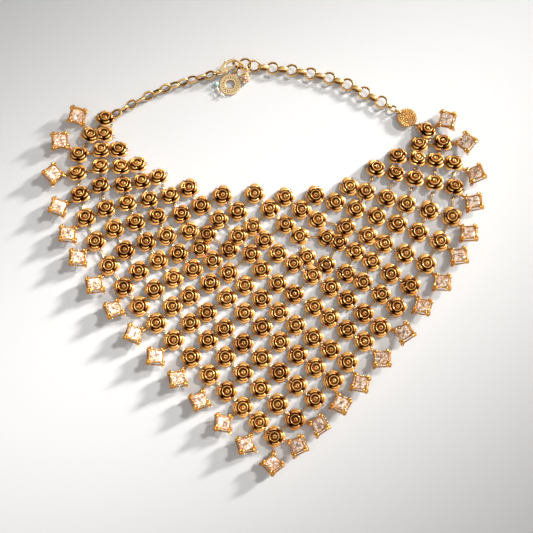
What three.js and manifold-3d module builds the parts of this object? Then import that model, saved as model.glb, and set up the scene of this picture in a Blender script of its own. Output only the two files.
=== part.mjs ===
// A bib necklace laid open on a flat surface: a net of cast roses, a fringe of crystals in claw settings,
// a back chain with a lobster clasp, and a few charms. Millimetres, +Z up.
// X runs across the bib and Y from its point towards the clasp. The origin is on the surface,
// under the rose in the middle of the bib.
import * as THREE from 'three';
import { mergeVertices } from 'three/addons/utils/BufferGeometryUtils.js';
import Module from 'manifold-3d';

const wasm = await Module();
wasm.setup();

// Driving dimensions of the roses and their net
const PETAL_REACH = 6.0;
const PETAL_NOTCH = 4.4;
const PETAL_HEIGHT = 2.6;
const NOTCH_HEIGHT = 2.2;
const PETAL_HALF_ANGLE = 17;
const BUD_RADIUS = 2.8;
const BUD_HEIGHT = 5.6;
const BUD_HOLLOW = 1.5;
const BUD_SIDES = 5;
const CALYX_REACH = 1.5;
const CALYX_HEIGHT = 1.4;
const JUMP_RING_SPAN = 16.6;
const NODE_GAP = 0.3;
const SIDE_FACING = 0.72;
const PETAL_CLEARANCE = 0.12;
const SPLIT_X = 0.5;

// Driving dimensions of the crystal drops
const SETTING_REACH = 7.2;
const SETTING_FOOT = 3.4;
const SETTING_RAIL_HEIGHT = 3.0;
const CLAW_HEIGHT = 4.5;
const CLAW_LEAN = 0.5;
const STONE_EDGE_HEIGHT = 3.9;
const STONE_EDGE_REACH = 4.7;
const STONE_TABLE_REACH = 3.8;
const STONE_TABLE_HEIGHT = 5.1;
const SETTING_TILT = 18;
const DROP_CLEARANCE = 14.3;
const LOOP_STOP_AT_PETAL = 6.1;
const LOOP_STOP_AT_NOTCH = 5.0;
const LOOP_RISE = 0.7;
const LOOP_PETAL_ANGLE = 24;

// Driving dimensions of the chains
const OVAL_LENGTH = 7.1;
const OVAL_WIDTH = 5.4;
const OVAL_WIRE = 0.95;
const OVAL_COUNT = 11;
const CHAIN_TWIST = 90;
const ROUND_WIDTH = 7.8;
const ROUND_WIRE = 1.1;
const ROUND_COUNT = 7;
const FLAT_LENGTH = 6.9;
const FLAT_DEPTH = 4.4;
const FLAT_BAND = 2.3;
const FLAT_WIRE = 0.9;
const SMALL_LENGTH = 5.0;
const SMALL_WIDTH = 4.2;
const SMALL_WIRE = 0.9;
const SMALL_COUNT = 3;
const LINK_SEGMENTS = 10;
const WIRE_SIDES = 5;
const LINK_GAP = 0.3;
const LINK_BITE = 0.12;
const RING_WIDTH = 4.6;
const RING_WIRE = 0.8;

// Driving dimensions of the clasp
const CLASP_LENGTH = 12.2;
const CLASP_HALF_WIDTH = 2.9;
const CLASP_THICKNESS = 2.4;
const CLASP_EYE_RADIUS = 1.7;
const CLASP_EYE_HOLE = 0.85;
const CLASP_EYE_THICKNESS = 1.2;
const CLASP_EYE_OVERLAP = 1.1;
const CLASP_ANGLE = 38;
const LEVER_THICKNESS = 0.8;
const LEVER_CLEARANCE = 0.3;
const LEVER_PIN = 0.5;
const LEVER_PIN_AT = 3.6;
const LEVER_BOSS = 1.45;
const CLASP_SLOT_END = 7.6;
const CLASP_GATE_END = 8.8;
const CLASP_GATE_TOP = -0.9;
const CLASP_PIN_INSET = 0.1;
const CLASP_LINK_HEADING = -25;
const CLASP_LINK_ROLL = 80;

// Driving dimensions of the disc, tag and charms
const DISC_RADIUS = 5.5;
const DISC_THICKNESS = 1.2;
const DISC_HOLE = 0.95;
const DISC_HOLE_EDGE = 1.6;
const TAG_RADIUS = 6.1;
const TAG_HOLE = 2.5;
const TAG_THICKNESS = 1.2;
const TAG_LOOP = 3.1;
const TAG_LOOP_OFFSET = 1.2;
const TAG_LINK_LENGTH = 6.6;
const TAG_LINK_WIDTH = 3.9;
const TAG_LINK_SHIFT = 0.7;
const BALL_RADIUS = 2.9;
const BALL_LOOP = 3.4;
const STONE_BEAD = 1.35;
const PEARL_BEAD = 0.85;
const CHARM_REACH = 7.75;
const CHARM_HEIGHT = 1.4;
const CHARM_WIRE = 0.6;

// Route of each strand of roses, from the lower right edge of the bib up to the left, as the place of a few
// of its roses: rose number in the strand, x, y
const strandRoutes = [
  [[0, -2, -83], [3, -28, -59], [6, -57, -31], [9, -85, -2], [12, -107, 37], [15, -112, 73], [17, -98, 94]],
  [[0, 9, -74], [3, -19, -49], [6, -48, -22], [9, -77, 7], [12, -96, 42], [14, -100, 66], [16, -98, 85]],
  [[0, 20, -63], [3, -9, -41], [6, -39, -16], [9, -66, 13], [12, -84, 45], [15, -90, 76]],
  [[0, 30, -53], [3, 1, -32], [6, -28, -8], [9, -55, 17], [12, -72, 47], [14, -79, 67]],
  [[0, 38, -43], [3, 10, -23], [6, -18, -1], [9, -43, 20], [11, -54, 39], [13, -67, 60]],
  [[0, -27, 19], [1, -39, 28]],
  [[0, 47, -32], [3, 20, -13], [5, 0, 0], [6, -9, 8], [8, -22, 27], [10, -43, 44], [11, -50, 54]],
  [[0, 56, -24], [3, 29, -2], [6, 0, 17], [8, -14, 32], [10, -31, 50]],
  [[0, 65, -13], [2, 47, 1], [5, 16, 15]],
  [[0, 73, -1], [3, 43, 18], [5, 27, 26], [6, 12, 27], [9, -13, 51]],
  [[0, 82, 11], [3, 50, 27], [4, 38, 32], [5, 22, 36], [7, 4, 49]],
  [[0, 90, 24], [3, 55, 38], [6, 21, 50]],
  [[0, 97, 38], [3, 61, 48], [5, 40, 55]],
  [[0, 99, 54], [2, 77, 59], [4, 55, 65]],
  [[0, 99, 68], [3, 68, 72]],
  [[0, 93, 80], [1, 80, 79]],
  [[0, 84, 87]],
];

// Routes of the crystal fringe, as the place of a few drops: drop number, x, y
const fringeRoutes = {
  left: [[0, -18, -88], [3, -55, -53], [6, -90, -15], [9, -117, 27], [10, -122, 43], [11, -124, 62],
    [12, -121, 80], [13, -112, 94]],
  point: [[0, -3, -98.5]],
  right: [[0, 11, -88], [3, 44, -54], [6, 79, -13], [9, 106, 28], [10, 110, 45], [11, 111, 62],
    [12, 106, 80], [13, 96, 92]],
};

// Routes of the two back chains, as chosen points: x, y, z
const leftChainRoute = [[-91.5, 97.4, 2.75], [-80, 104.6, 2.75], [-65, 112.1, 2.75], [-50, 117.3, 2.75],
  [-41, 119.5, 3.0], [-35, 120.7, 4.5], [-31, 121.3, 4.5]];
const rightChainRoute = [[-13.4, 125.4, 3.9], [-8, 124.9, 2.9], [0, 124.3, 2.3], [15, 122.2, 2.25],
  [36.5, 116.3, 2.25], [57.2, 105.6, 2.25], [74, 94.6, 2.25], [84, 84, 2.25]];

// Place of the spare round link between the clasp and the right chain
const spareLinkPlace = [-18.3, 126.1, 4.5];

// Where the tag lies, and the place on the bib that the textured disc points to
const tagPlace = [-27.7, 113.8];
const discTarget = [84, 87];

// Finishes
const antiqueGold = { color: 0xc9963f, roughness: 0.35, metalness: 0.9 };
const paleGold = { color: 0xd8a95a, roughness: 0.4, metalness: 0.85 };
const settingGold = { color: 0xc98f3c, roughness: 0.32, metalness: 0.85 };
const peachStone = { color: 0xe2a080, roughness: 0.1, metalness: 0.1 };
const turquoise = { color: 0x8fc9c4, roughness: 0.3, metalness: 0.0 };

const radians = THREE.MathUtils.degToRad;

// Catmull-Rom curve through the chosen places, read at each whole number between the first and the last
function placesAlong(route) {
  if (route.length === 1) return [new THREE.Vector2(route[0][1], route[0][2])];
  const knots = route.map(([, x, y]) => new THREE.Vector3(x, y, 0));
  const curve = new THREE.CatmullRomCurve3(knots, false, 'catmullrom');
  const places = [];
  for (let leg = 0; leg < route.length - 1; leg += 1) {
    const first = route[leg][0];
    const last = route[leg + 1][0];
    for (let i = first; i < last; i += 1) {
      places.push(curve.getPoint((leg + (i - first) / (last - first)) / (route.length - 1)));
    }
  }
  places.push(curve.getPoint(1));
  return places.map((p) => new THREE.Vector2(p.x, p.y));
}

// Closed mesh data: points and triangles
class Solid {
  constructor() {
    this.points = [];
    this.faces = [];
  }

  point(x, y, z) {
    this.points.push(x, y, z);
    return this.points.length / 3 - 1;
  }

  ring(list) {
    return list.map(([x, y, z]) => this.point(x, y, z));
  }

  quad(a, b, c, d) {
    this.faces.push(a, b, c, a, c, d);
  }

  fan(ring) {
    for (let i = 1; i < ring.length - 1; i += 1) this.faces.push(ring[0], ring[i], ring[i + 1]);
  }

  angleOf(index, centre) {
    return Math.atan2(this.points[3 * index + 1] - centre.y, this.points[3 * index] - centre.x);
  }

  // Joins an inner or lower ring to an outer or upper one, both anticlockwise, with triangles between them
  stitch(lower, upper, centre) {
    const full = 2 * Math.PI;
    const start = this.angleOf(lower[0], centre);
    const turn = (index) => (((this.angleOf(index, centre) - start) % full) + full + 1e-6) % full;
    const shift = upper.reduce((best, v, i) => (turn(v) < turn(upper[best]) ? i : best), 0);
    const top = upper.map((_, i) => upper[(i + shift) % upper.length]);
    let i = 0;
    let j = 0;
    const end = (ring, k) => (k === ring.length ? full : turn(ring[k]));
    while (i < lower.length || j < top.length) {
      const nextLower = i < lower.length ? end(lower, i + 1) : Infinity;
      const nextUpper = j < top.length ? end(top, j + 1) + 1e-9 : Infinity;
      const a = lower[i % lower.length];
      const b = top[j % top.length];
      if (nextLower <= nextUpper) {
        this.faces.push(a, lower[(i + 1) % lower.length], b);
        i += 1;
      } else {
        this.faces.push(a, top[(j + 1) % top.length], b);
        j += 1;
      }
    }
  }

  geometry() {
    const geometry = new THREE.BufferGeometry();
    geometry.setAttribute('position', new THREE.Float32BufferAttribute(this.points, 3));
    geometry.setIndex(this.faces);
    return geometry;
  }
}

// Boolean joins and cuts
function toManifold(geometry) {
  const bare = geometry.clone();
  bare.deleteAttribute('normal');
  bare.deleteAttribute('uv');
  const merged = mergeVertices(bare, 1e-5);
  return new wasm.Manifold(new wasm.Mesh({
    numProp: 3,
    vertProperties: new Float32Array(merged.attributes.position.array),
    triVerts: new Uint32Array(merged.index.array),
  }));
}

function fromManifold(solid) {
  const mesh = solid.getMesh();
  const geometry = new THREE.BufferGeometry();
  geometry.setAttribute('position', new THREE.BufferAttribute(Float32Array.from(mesh.vertProperties), 3));
  geometry.setIndex(new THREE.BufferAttribute(Uint32Array.from(mesh.triVerts), 1));
  return geometry;
}

function join(geometries) {
  return fromManifold(geometries.map(toManifold).reduce((a, b) => a.add(b)));
}

function cut(body, tools) {
  return fromManifold(tools.map(toManifold).reduce((a, b) => a.subtract(b), toManifold(body)));
}

// Places of all the roses
const roses = strandRoutes.flatMap((route, strand) => placesAlong(route).map((place, number) => ({
  strand,
  number,
  place,
  joined: [null, null, null, null],
})));

// Side 0 of a rose faces the next strand on its right, side 1 the next rose of its own strand,
// and sides 2 and 3 are opposite them
function joinRoses(a, side, b) {
  a.joined[side] = b;
  b.joined[(side + 2) % 4] = a;
}

for (const rose of roses) {
  const next = roses.find((other) => other.strand === rose.strand && other.number === rose.number + 1);
  if (next) joinRoses(rose, 1, next);
}

// Direction of the strand at a rose
function strandDirection(rose) {
  const ahead = rose.joined[1] ? rose.joined[1].place : rose.place;
  const behind = rose.joined[3] ? rose.joined[3].place : rose.place;
  const along = ahead.clone().sub(behind);
  return along.length() > 0 ? along.normalize() : new THREE.Vector2(-0.4, 0.9).normalize();
}

// Nearest roses of the strands to the right are joined first. The first roses of two strands are joined at
// any distance, because they hold the outer edge of the bib together.
const pairs = [];
for (const a of roses) {
  const along = strandDirection(a);
  const across = new THREE.Vector2(along.y, -along.x);
  for (const b of roses) {
    const step = b.place.clone().sub(a.place);
    const turned = step.length() > 0 ? step.clone().normalize().dot(across) : 0;
    const nextStrand = b.strand > a.strand && b.strand <= a.strand + 2;
    const bothFirst = !a.joined[3] && !b.joined[3];
    const withinReach = bothFirst || step.length() < JUMP_RING_SPAN;
    if (nextStrand && withinReach && turned > SIDE_FACING) {
      pairs.push({ a, b, length: step.length() });
    }
  }
}
pairs.sort((p, q) => p.length - q.length);
for (const { a, b } of pairs) {
  if (!a.joined[0] && !b.joined[2]) joinRoses(a, 0, b);
}

// Directions of the four sides of a rose, anticlockwise, and of the petals between them
function sideAngles(rose) {
  const along = strandDirection(rose);
  const base = Math.atan2(along.y, along.x) - Math.PI / 2;
  const angles = [];
  for (let side = 0; side < 4; side += 1) {
    const fallback = base + side * Math.PI / 2;
    const other = rose.joined[side];
    let angle = fallback;
    if (other) angle = Math.atan2(other.place.y - rose.place.y, other.place.x - rose.place.x);
    while (angle < fallback - Math.PI) angle += 2 * Math.PI;
    while (angle > fallback + Math.PI) angle -= 2 * Math.PI;
    angles.push(angle);
  }
  return angles;
}

for (const rose of roses) {
  rose.sides = sideAngles(rose);
  rose.petals = rose.sides.map((angle, side) => {
    const before = side === 0 ? rose.sides[3] - 2 * Math.PI : rose.sides[side - 1];
    return (angle + before) / 2;
  });
  rose.part = rose.place.x < SPLIT_X ? 'left' : 'right';
}

// Room for a point of a petal before it meets the same point of any other rose
function petalRoom(rose, angle, reach) {
  let room = reach;
  for (const other of roses) {
    const step = other.place.clone().sub(rose.place);
    const distance = step.length();
    if (other === rose || distance > 2 * PETAL_REACH) continue;
    const facing = Math.cos(angle - Math.atan2(step.y, step.x));
    if (facing > 0.1) room = Math.min(room, (distance / 2 - PETAL_CLEARANCE) / facing);
  }
  return room;
}

function buildRose(net, rose) {
  const { x, y } = rose.place;
  const at = (angle, radius, z) => [x + radius * Math.cos(angle), y + radius * Math.sin(angle), z];
  const calyxLow = net.ring(rose.petals.map((angle) => at(angle, CALYX_REACH, 0)));
  const calyxHigh = net.ring(rose.petals.map((angle) => at(angle, CALYX_REACH, CALYX_HEIGHT)));
  rose.calyx = rose.petals.map((_, i) => [calyxLow[i], calyxHigh[i]]);
  const half = radians(PETAL_HALF_ANGLE);
  const outline = rose.petals.flatMap((angle, i) => [
    at(angle - half, petalRoom(rose, angle - half, PETAL_REACH), PETAL_HEIGHT),
    at(angle + half, petalRoom(rose, angle + half, PETAL_REACH), PETAL_HEIGHT),
    at(rose.sides[i], petalRoom(rose, rose.sides[i], PETAL_NOTCH), NOTCH_HEIGHT),
  ]);
  const rim = net.ring(outline);
  const budTurn = rose.petals[0];
  const budRing = (radius, z) => net.ring(Array.from({ length: BUD_SIDES }, (_, i) => (
    at(budTurn + (2 * Math.PI * i) / BUD_SIDES, radius, z))));
  const budRim = budRing(BUD_RADIUS, BUD_HEIGHT);
  const budHeart = net.point(x, y, BUD_HEIGHT - BUD_HOLLOW);
  net.fan([...calyxLow].reverse());
  net.stitch(calyxHigh, rim, rose.place);
  net.stitch(rim, budRim, rose.place);
  budRim.forEach((v, i) => net.faces.push(v, budRim[(i + 1) % BUD_SIDES], budHeart));
}

// Bar that stands for the pair of jump rings between two roses, or closes the side of a rose that has none
function buildSides(net, rose, part) {
  for (let side = 0; side < 4; side += 1) {
    const other = rose.joined[side];
    const [low0, high0] = rose.calyx[side];
    const [low1, high1] = rose.calyx[(side + 1) % 4];
    const owner = side < 2;
    if (other && other.part === part) {
      if (!owner) continue;
      const far = (side + 2) % 4;
      const [farLow0, farHigh0] = other.calyx[far];
      const [farLow1, farHigh1] = other.calyx[(far + 1) % 4];
      net.quad(low0, farLow1, farHigh1, high0);
      net.quad(farLow0, low1, high1, farHigh0);
      net.quad(high0, farHigh1, farHigh0, high1);
      net.quad(low1, farLow0, farLow1, low0);
    } else if (other && owner) {
      buildStub(net, rose, other, side);
    } else {
      net.quad(low0, low1, high1, high0);
    }
  }
}

// Bar across the seam of the net, which stops a gap short of the rose on the other side
function buildStub(net, rose, other, side) {
  const far = (side + 2) % 4;
  const [low0, high0] = rose.calyx[side];
  const [low1, high1] = rose.calyx[(side + 1) % 4];
  const corner = (index) => new THREE.Vector2(
    other.place.x + CALYX_REACH * Math.cos(other.petals[index % 4]),
    other.place.y + CALYX_REACH * Math.sin(other.petals[index % 4]),
  );
  const back = rose.place.clone().sub(other.place).normalize().multiplyScalar(NODE_GAP);
  const near = corner(far + 1).add(back);
  const wide = corner(far).add(back);
  const endLow0 = net.point(near.x, near.y, 0);
  const endHigh0 = net.point(near.x, near.y, CALYX_HEIGHT);
  const endLow1 = net.point(wide.x, wide.y, 0);
  const endHigh1 = net.point(wide.x, wide.y, CALYX_HEIGHT);
  net.quad(low0, endLow0, endHigh0, high0);
  net.quad(endLow1, low1, high1, endHigh1);
  net.quad(high0, endHigh0, endHigh1, high1);
  net.quad(low1, endLow1, endLow0, low0);
  net.quad(endLow0, endLow1, endHigh1, endHigh0);
}

function buildNet(part) {
  const net = new Solid();
  const own = roses.filter((rose) => rose.part === part);
  own.forEach((rose) => buildRose(net, rose));
  own.forEach((rose) => buildSides(net, rose, part));
  return net.geometry();
}

// Closed loop of wire on an oval, lying flat round the origin with its length along X
function loopGeometry({ length, width, wire, band = wire, segments = LINK_SEGMENTS, sides = WIRE_SIDES }) {
  const loop = new Solid();
  const halfLength = (length - wire) / 2;
  const halfWidth = (width - wire) / 2;
  const rings = [];
  for (let i = 0; i < segments; i += 1) {
    const t = (2 * Math.PI * (i + 0.5)) / segments;
    const outward = new THREE.Vector2(Math.cos(t) * halfWidth, Math.sin(t) * halfLength).normalize();
    rings.push(loop.ring(Array.from({ length: sides }, (_, k) => {
      const s = (2 * Math.PI * k) / sides;
      const out = (wire / 2) * Math.cos(s);
      return [halfLength * Math.cos(t) + outward.x * out, halfWidth * Math.sin(t) + outward.y * out,
        (band / 2) * Math.sin(s)];
    })));
  }
  rings.forEach((ring, i) => {
    const next = rings[(i + 1) % segments];
    ring.forEach((v, k) => loop.quad(v, next[k], next[(k + 1) % sides], ring[(k + 1) % sides]));
  });
  return loop.geometry();
}

// Moves a piece to a place, turned round its own length first, then to the heading given as a direction
function lay(geometry, place, heading, roll) {
  const x = heading.clone().normalize();
  const y = new THREE.Vector3(-x.y, x.x, 0).normalize();
  const z = new THREE.Vector3().crossVectors(x, y);
  const turn = new THREE.Matrix4().makeBasis(x, y, z).setPosition(place);
  return geometry.clone().applyMatrix4(new THREE.Matrix4().makeRotationX(radians(roll))).applyMatrix4(turn);
}

// Half of a link's length inside its wire
const inner = (link) => link.length / 2 - link.wire;

// Centres of the links of a chain, each one's inside resting on the next one's
function chainPlaces(curve, links, start) {
  let along = start;
  const total = curve.getLength();
  return links.map((link, i) => {
    if (i > 0) along += inner(links[i - 1]) + inner(link) + (link.bite ?? LINK_BITE);
    const u = Math.min(along / total, 1);
    return { ...link, along, place: curve.getPointAt(u), heading: curve.getTangentAt(u) };
  });
}

const curveThrough = (route) => (
  new THREE.CatmullRomCurve3(route.map((p) => new THREE.Vector3(...p)), false, 'centripetal'));

const oval = { length: OVAL_LENGTH, width: OVAL_WIDTH, wire: OVAL_WIRE };
const round = { length: ROUND_WIDTH, width: ROUND_WIDTH, wire: ROUND_WIRE };
const flat = { length: FLAT_LENGTH, width: FLAT_DEPTH, wire: FLAT_WIRE, band: FLAT_BAND };
const small = { length: SMALL_LENGTH, width: SMALL_WIDTH, wire: SMALL_WIRE };
const ring = { length: RING_WIDTH, width: RING_WIDTH, wire: RING_WIRE };

const leftCurve = curveThrough(leftChainRoute);
const leftLinks = chainPlaces(leftCurve, Array.from({ length: OVAL_COUNT + 1 }, (_, i) => ({
  ...oval,
  roll: 90 * i + (CHAIN_TWIST * i) / OVAL_COUNT,
  bite: i === 1 ? -LINK_GAP : LINK_BITE,
})).concat([{ ...ring, roll: 90, bite: -LINK_GAP }]), 0);
const leftRing = leftLinks[leftLinks.length - 1];
const claspEye = leftRing.place.clone().addScaledVector(leftRing.heading, (RING_WIDTH - RING_WIRE) / 2);

const claspAxis = new THREE.Vector3(Math.cos(radians(CLASP_ANGLE)), Math.sin(radians(CLASP_ANGLE)), 0);
const claspFrame = new THREE.Matrix4().makeRotationZ(radians(CLASP_ANGLE)).setPosition(claspEye);

const rightCurve = curveThrough(rightChainRoute);
const rightLinks = chainPlaces(rightCurve, [
  { ...round, roll: 45 },
  ...Array.from({ length: 2 * ROUND_COUNT }, (_, i) => (
    i % 2 ? { ...round, roll: 0 } : { ...flat, roll: 90 })),
  ...Array.from({ length: SMALL_COUNT }, (_, i) => ({ ...small, roll: i % 2 ? 0 : 90 })),
], 0);
const lastSmall = rightLinks[rightLinks.length - 1];

const layLink = (link) => lay(loopGeometry(link), link.place, link.heading, link.roll);
const step = (place, heading, distance) => place.clone().addScaledVector(heading, distance);
const flatHeading = (from, to) => to.clone().sub(from).setZ(0).normalize();

// Crystal drop: a claw setting with its stone, leaning to the rose that it hangs from.
// One corner of its rail is drawn out under the rose's petals, where its loop and jump ring are.
function buildDrop(place, rose) {
  const drop = new Solid();
  const centre = new THREE.Vector2(0, 0);
  const corners = (reach, z, count, turn) => drop.ring(Array.from({ length: count }, (_, i) => {
    const angle = turn + (2 * Math.PI * i) / count;
    return [reach * Math.cos(angle), reach * Math.sin(angle), z];
  }));
  const away = rose.place.clone().sub(place);
  const angle = Math.atan2(away.y, away.x);
  const tilt = radians(SETTING_TILT);
  const lean = new THREE.Matrix4().makeRotationY(tilt);
  const foot = corners(SETTING_FOOT, 0, 4, 0);
  const nearestPetal = Math.max(...rose.petals.map((petal) => -Math.cos(petal - angle)));
  const atPetal = nearestPetal > Math.cos(radians(LOOP_PETAL_ANGLE));
  const stop = atPetal ? LOOP_STOP_AT_PETAL : LOOP_STOP_AT_NOTCH;
  const loopHeight = SETTING_RAIL_HEIGHT + LOOP_RISE;
  const loopReach = (away.length() - stop - loopHeight * Math.sin(tilt)) / Math.cos(tilt);
  const rail = corners(SETTING_REACH, SETTING_RAIL_HEIGHT, 4, 0);
  drop.points[3 * rail[0]] = Math.max(loopReach, SETTING_REACH);
  drop.points[3 * rail[0] + 2] = loopHeight;
  const edge = drop.ring(Array.from({ length: 8 }, (_, i) => {
    const angle = (Math.PI * i) / 4;
    const claw = i % 2 === 0;
    const reach = claw ? SETTING_REACH - CLAW_LEAN : STONE_EDGE_REACH;
    return [reach * Math.cos(angle), reach * Math.sin(angle), claw ? CLAW_HEIGHT : STONE_EDGE_HEIGHT];
  }));
  const table = corners(STONE_TABLE_REACH, STONE_TABLE_HEIGHT, 8, Math.PI / 8);
  drop.fan([...foot].reverse());
  drop.stitch(foot, rail, centre);
  drop.stitch(rail, edge, centre);
  drop.stitch(edge, table, centre);
  drop.fan(table);
  const leaning = drop.geometry().applyMatrix4(lean);
  leaning.computeBoundingBox();
  leaning.translate(0, 0, -leaning.boundingBox.min.z);
  return leaning.applyMatrix4(new THREE.Matrix4().makeRotationZ(angle).setPosition(place.x, place.y, 0));
}

const extruded = (points, thickness) => {
  const shape = new THREE.Shape(points.map(([x, y]) => new THREE.Vector2(x, y)));
  const solid = new THREE.ExtrudeGeometry(shape, { depth: thickness, bevelEnabled: false });
  return solid.translate(0, 0, -thickness / 2);
};
const ovalPoints = (x, y, a, b, count) => Array.from({ length: count }, (_, i) => {
  const t = (2 * Math.PI * (i + 0.5)) / count;
  return [x + a * Math.cos(t), y + b * Math.sin(t)];
});

// Clasp, drawn with its eye at the origin and its tip along X
const claspHollow = { x: 7.6, y: -0.1, a: 3.2, b: 1.55 };
const outsideClasp = CLASP_HALF_WIDTH + 1;
const leverEnd = CLASP_GATE_END - LEVER_CLEARANCE;
const gateOutline = [[2.9, -1.1], [4.2, -2.2], [leverEnd, -2.3], [leverEnd, -1.4], [4.6, -0.6]];
const nubOutline = [[3.2, 1.2], [4.8, 0.2], [6.7, 2.6], [7.6, 4.1], [6.3, 4.1], [5.6, 3.2]];
const slotDepth = LEVER_THICKNESS + 2 * LEVER_CLEARANCE;

function buildClaspBody() {
  const half = (CLASP_LENGTH - CLASP_EYE_RADIUS + CLASP_EYE_OVERLAP) / 2;
  const claw = extruded(ovalPoints(CLASP_LENGTH - half, 0, half, CLASP_HALF_WIDTH, 12), CLASP_THICKNESS);
  const eye = extruded(ovalPoints(0, 0, CLASP_EYE_RADIUS, CLASP_EYE_RADIUS, 10), CLASP_EYE_THICKNESS);
  const tall = CLASP_THICKNESS + 1;
  const hollow = extruded(ovalPoints(claspHollow.x, claspHollow.y, claspHollow.a, claspHollow.b, 10), tall);
  const box = (x0, x1, y0, y1, depth) => extruded([[x0, y0], [x1, y0], [x1, y1], [x0, y1]], depth);
  const gate = box(LEVER_PIN_AT + LEVER_PIN, CLASP_GATE_END, -outsideClasp, CLASP_GATE_TOP, tall);
  const slotStart = LEVER_PIN_AT - LEVER_BOSS - LEVER_CLEARANCE;
  const slot = box(slotStart, CLASP_SLOT_END, -outsideClasp, outsideClasp, slotDepth);
  const hole = extruded(ovalPoints(0, 0, CLASP_EYE_HOLE, CLASP_EYE_HOLE, 8), tall);
  const pinLength = CLASP_THICKNESS - 2 * CLASP_PIN_INSET;
  const pin = extruded(ovalPoints(LEVER_PIN_AT, 0, LEVER_PIN, LEVER_PIN, 8), pinLength);
  return join([cut(join([claw, eye]), [hollow, gate, slot, hole]), pin]);
}

function buildClaspLever() {
  const boss = extruded(ovalPoints(LEVER_PIN_AT, 0, LEVER_BOSS, LEVER_BOSS, 10), LEVER_THICKNESS);
  const gate = extruded(gateOutline, LEVER_THICKNESS);
  const nub = extruded(nubOutline, LEVER_THICKNESS);
  const holeRadius = LEVER_PIN + LEVER_CLEARANCE;
  const hole = extruded(ovalPoints(LEVER_PIN_AT, 0, holeRadius, holeRadius, 8), CLASP_THICKNESS);
  return cut(join([boss, gate, nub]), [hole]);
}

const inClasp = (x, y) => new THREE.Vector3(x, y, 0).applyMatrix4(claspFrame);

// Round link through the clasp, and the spare link between it and the right chain
const roundReach = (ROUND_WIDTH - ROUND_WIRE) / 2;
const claspLinkHeading = new THREE.Vector3(Math.cos(radians(CLASP_LINK_HEADING)),
  Math.sin(radians(CLASP_LINK_HEADING)), 0);
const claspLink = {
  ...round,
  roll: CLASP_LINK_ROLL,
  place: step(inClasp(claspHollow.x + claspHollow.a - ROUND_WIRE + 0.1, 0.2), claspLinkHeading, roundReach),
  heading: claspLinkHeading,
};
const sparePlace = new THREE.Vector3(...spareLinkPlace);
const spareLink = {
  ...round,
  roll: 0,
  place: sparePlace,
  heading: rightLinks[0].place.clone().sub(claspLink.place).normalize(),
};

// Tag: a flat ring with a loop on its rim, and the long link that carries it
const claspSide = new THREE.Vector3(-claspLinkHeading.y, claspLinkHeading.x, 0);
const lowWire = step(claspLink.place, claspSide, -roundReach * Math.cos(radians(CLASP_LINK_ROLL)));
lowWire.z -= roundReach * Math.sin(radians(CLASP_LINK_ROLL));
const tagHeading = flatHeading(new THREE.Vector3(...tagPlace), lowWire);
const tagLinkHeight = TAG_LINK_WIDTH / 2 + 0.05;
const tagLink = {
  length: TAG_LINK_LENGTH,
  width: TAG_LINK_WIDTH,
  wire: RING_WIRE,
  roll: 90,
  place: step(lowWire, tagHeading, -TAG_LINK_SHIFT).setZ(tagLinkHeight),
  heading: tagHeading,
};
const tagLoop = step(tagLink.place, tagHeading, -(TAG_LINK_LENGTH - RING_WIRE) / 2);
const tagLoopReach = TAG_RADIUS + TAG_LOOP_OFFSET;

function buildTag() {
  const plate = cut(extruded(ovalPoints(0, 0, TAG_RADIUS, TAG_RADIUS, 16), TAG_THICKNESS),
    [extruded(ovalPoints(0, 0, TAG_HOLE, TAG_HOLE, 10), TAG_THICKNESS + 1)]);
  const loop = loopGeometry({ length: TAG_LOOP, width: TAG_LOOP, wire: RING_WIRE });
  loop.translate(tagLoopReach, 0, 0);
  const tag = join([plate, loop]);
  const slope = Math.asin((tagLinkHeight - TAG_THICKNESS / 2) / (tagLoopReach + TAG_RADIUS));
  const along = tagHeading.clone().multiplyScalar(Math.cos(slope)).setZ(Math.sin(slope));
  const centre = step(tagLoop, along, -tagLoopReach);
  return { geometry: lay(tag, centre, along, 0), centre };
}
const tag = buildTag();

// Textured disc with a hole at either end, carried between the right chain and a small ring on the bib
const discHeading = flatHeading(lastSmall.place, new THREE.Vector3(...discTarget, lastSmall.place.z));
const holeReach = DISC_RADIUS - DISC_HOLE_EDGE;
const chainEnd = step(lastSmall.place, lastSmall.heading, (SMALL_LENGTH - SMALL_WIRE) / 2);
const discPlace = step(chainEnd, discHeading, holeReach);
const discRing = { ...ring, roll: 90, heading: discHeading };
discRing.place = step(discPlace, discHeading, holeReach + (RING_WIDTH - RING_WIRE) / 2);
const endLink = { ...small, roll: 0, heading: discHeading };
endLink.place = step(discRing.place, discHeading, inner(ring) + inner(small) - LINK_GAP);

function buildDisc() {
  const hole = (x) => extruded(ovalPoints(x, 0, DISC_HOLE, DISC_HOLE, 8), DISC_THICKNESS + 1);
  const plate = extruded(ovalPoints(0, 0, DISC_RADIUS, DISC_RADIUS, 16), DISC_THICKNESS);
  return lay(cut(plate, [hole(-holeReach), hole(holeReach)]), discPlace, discHeading, 0);
}

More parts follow.
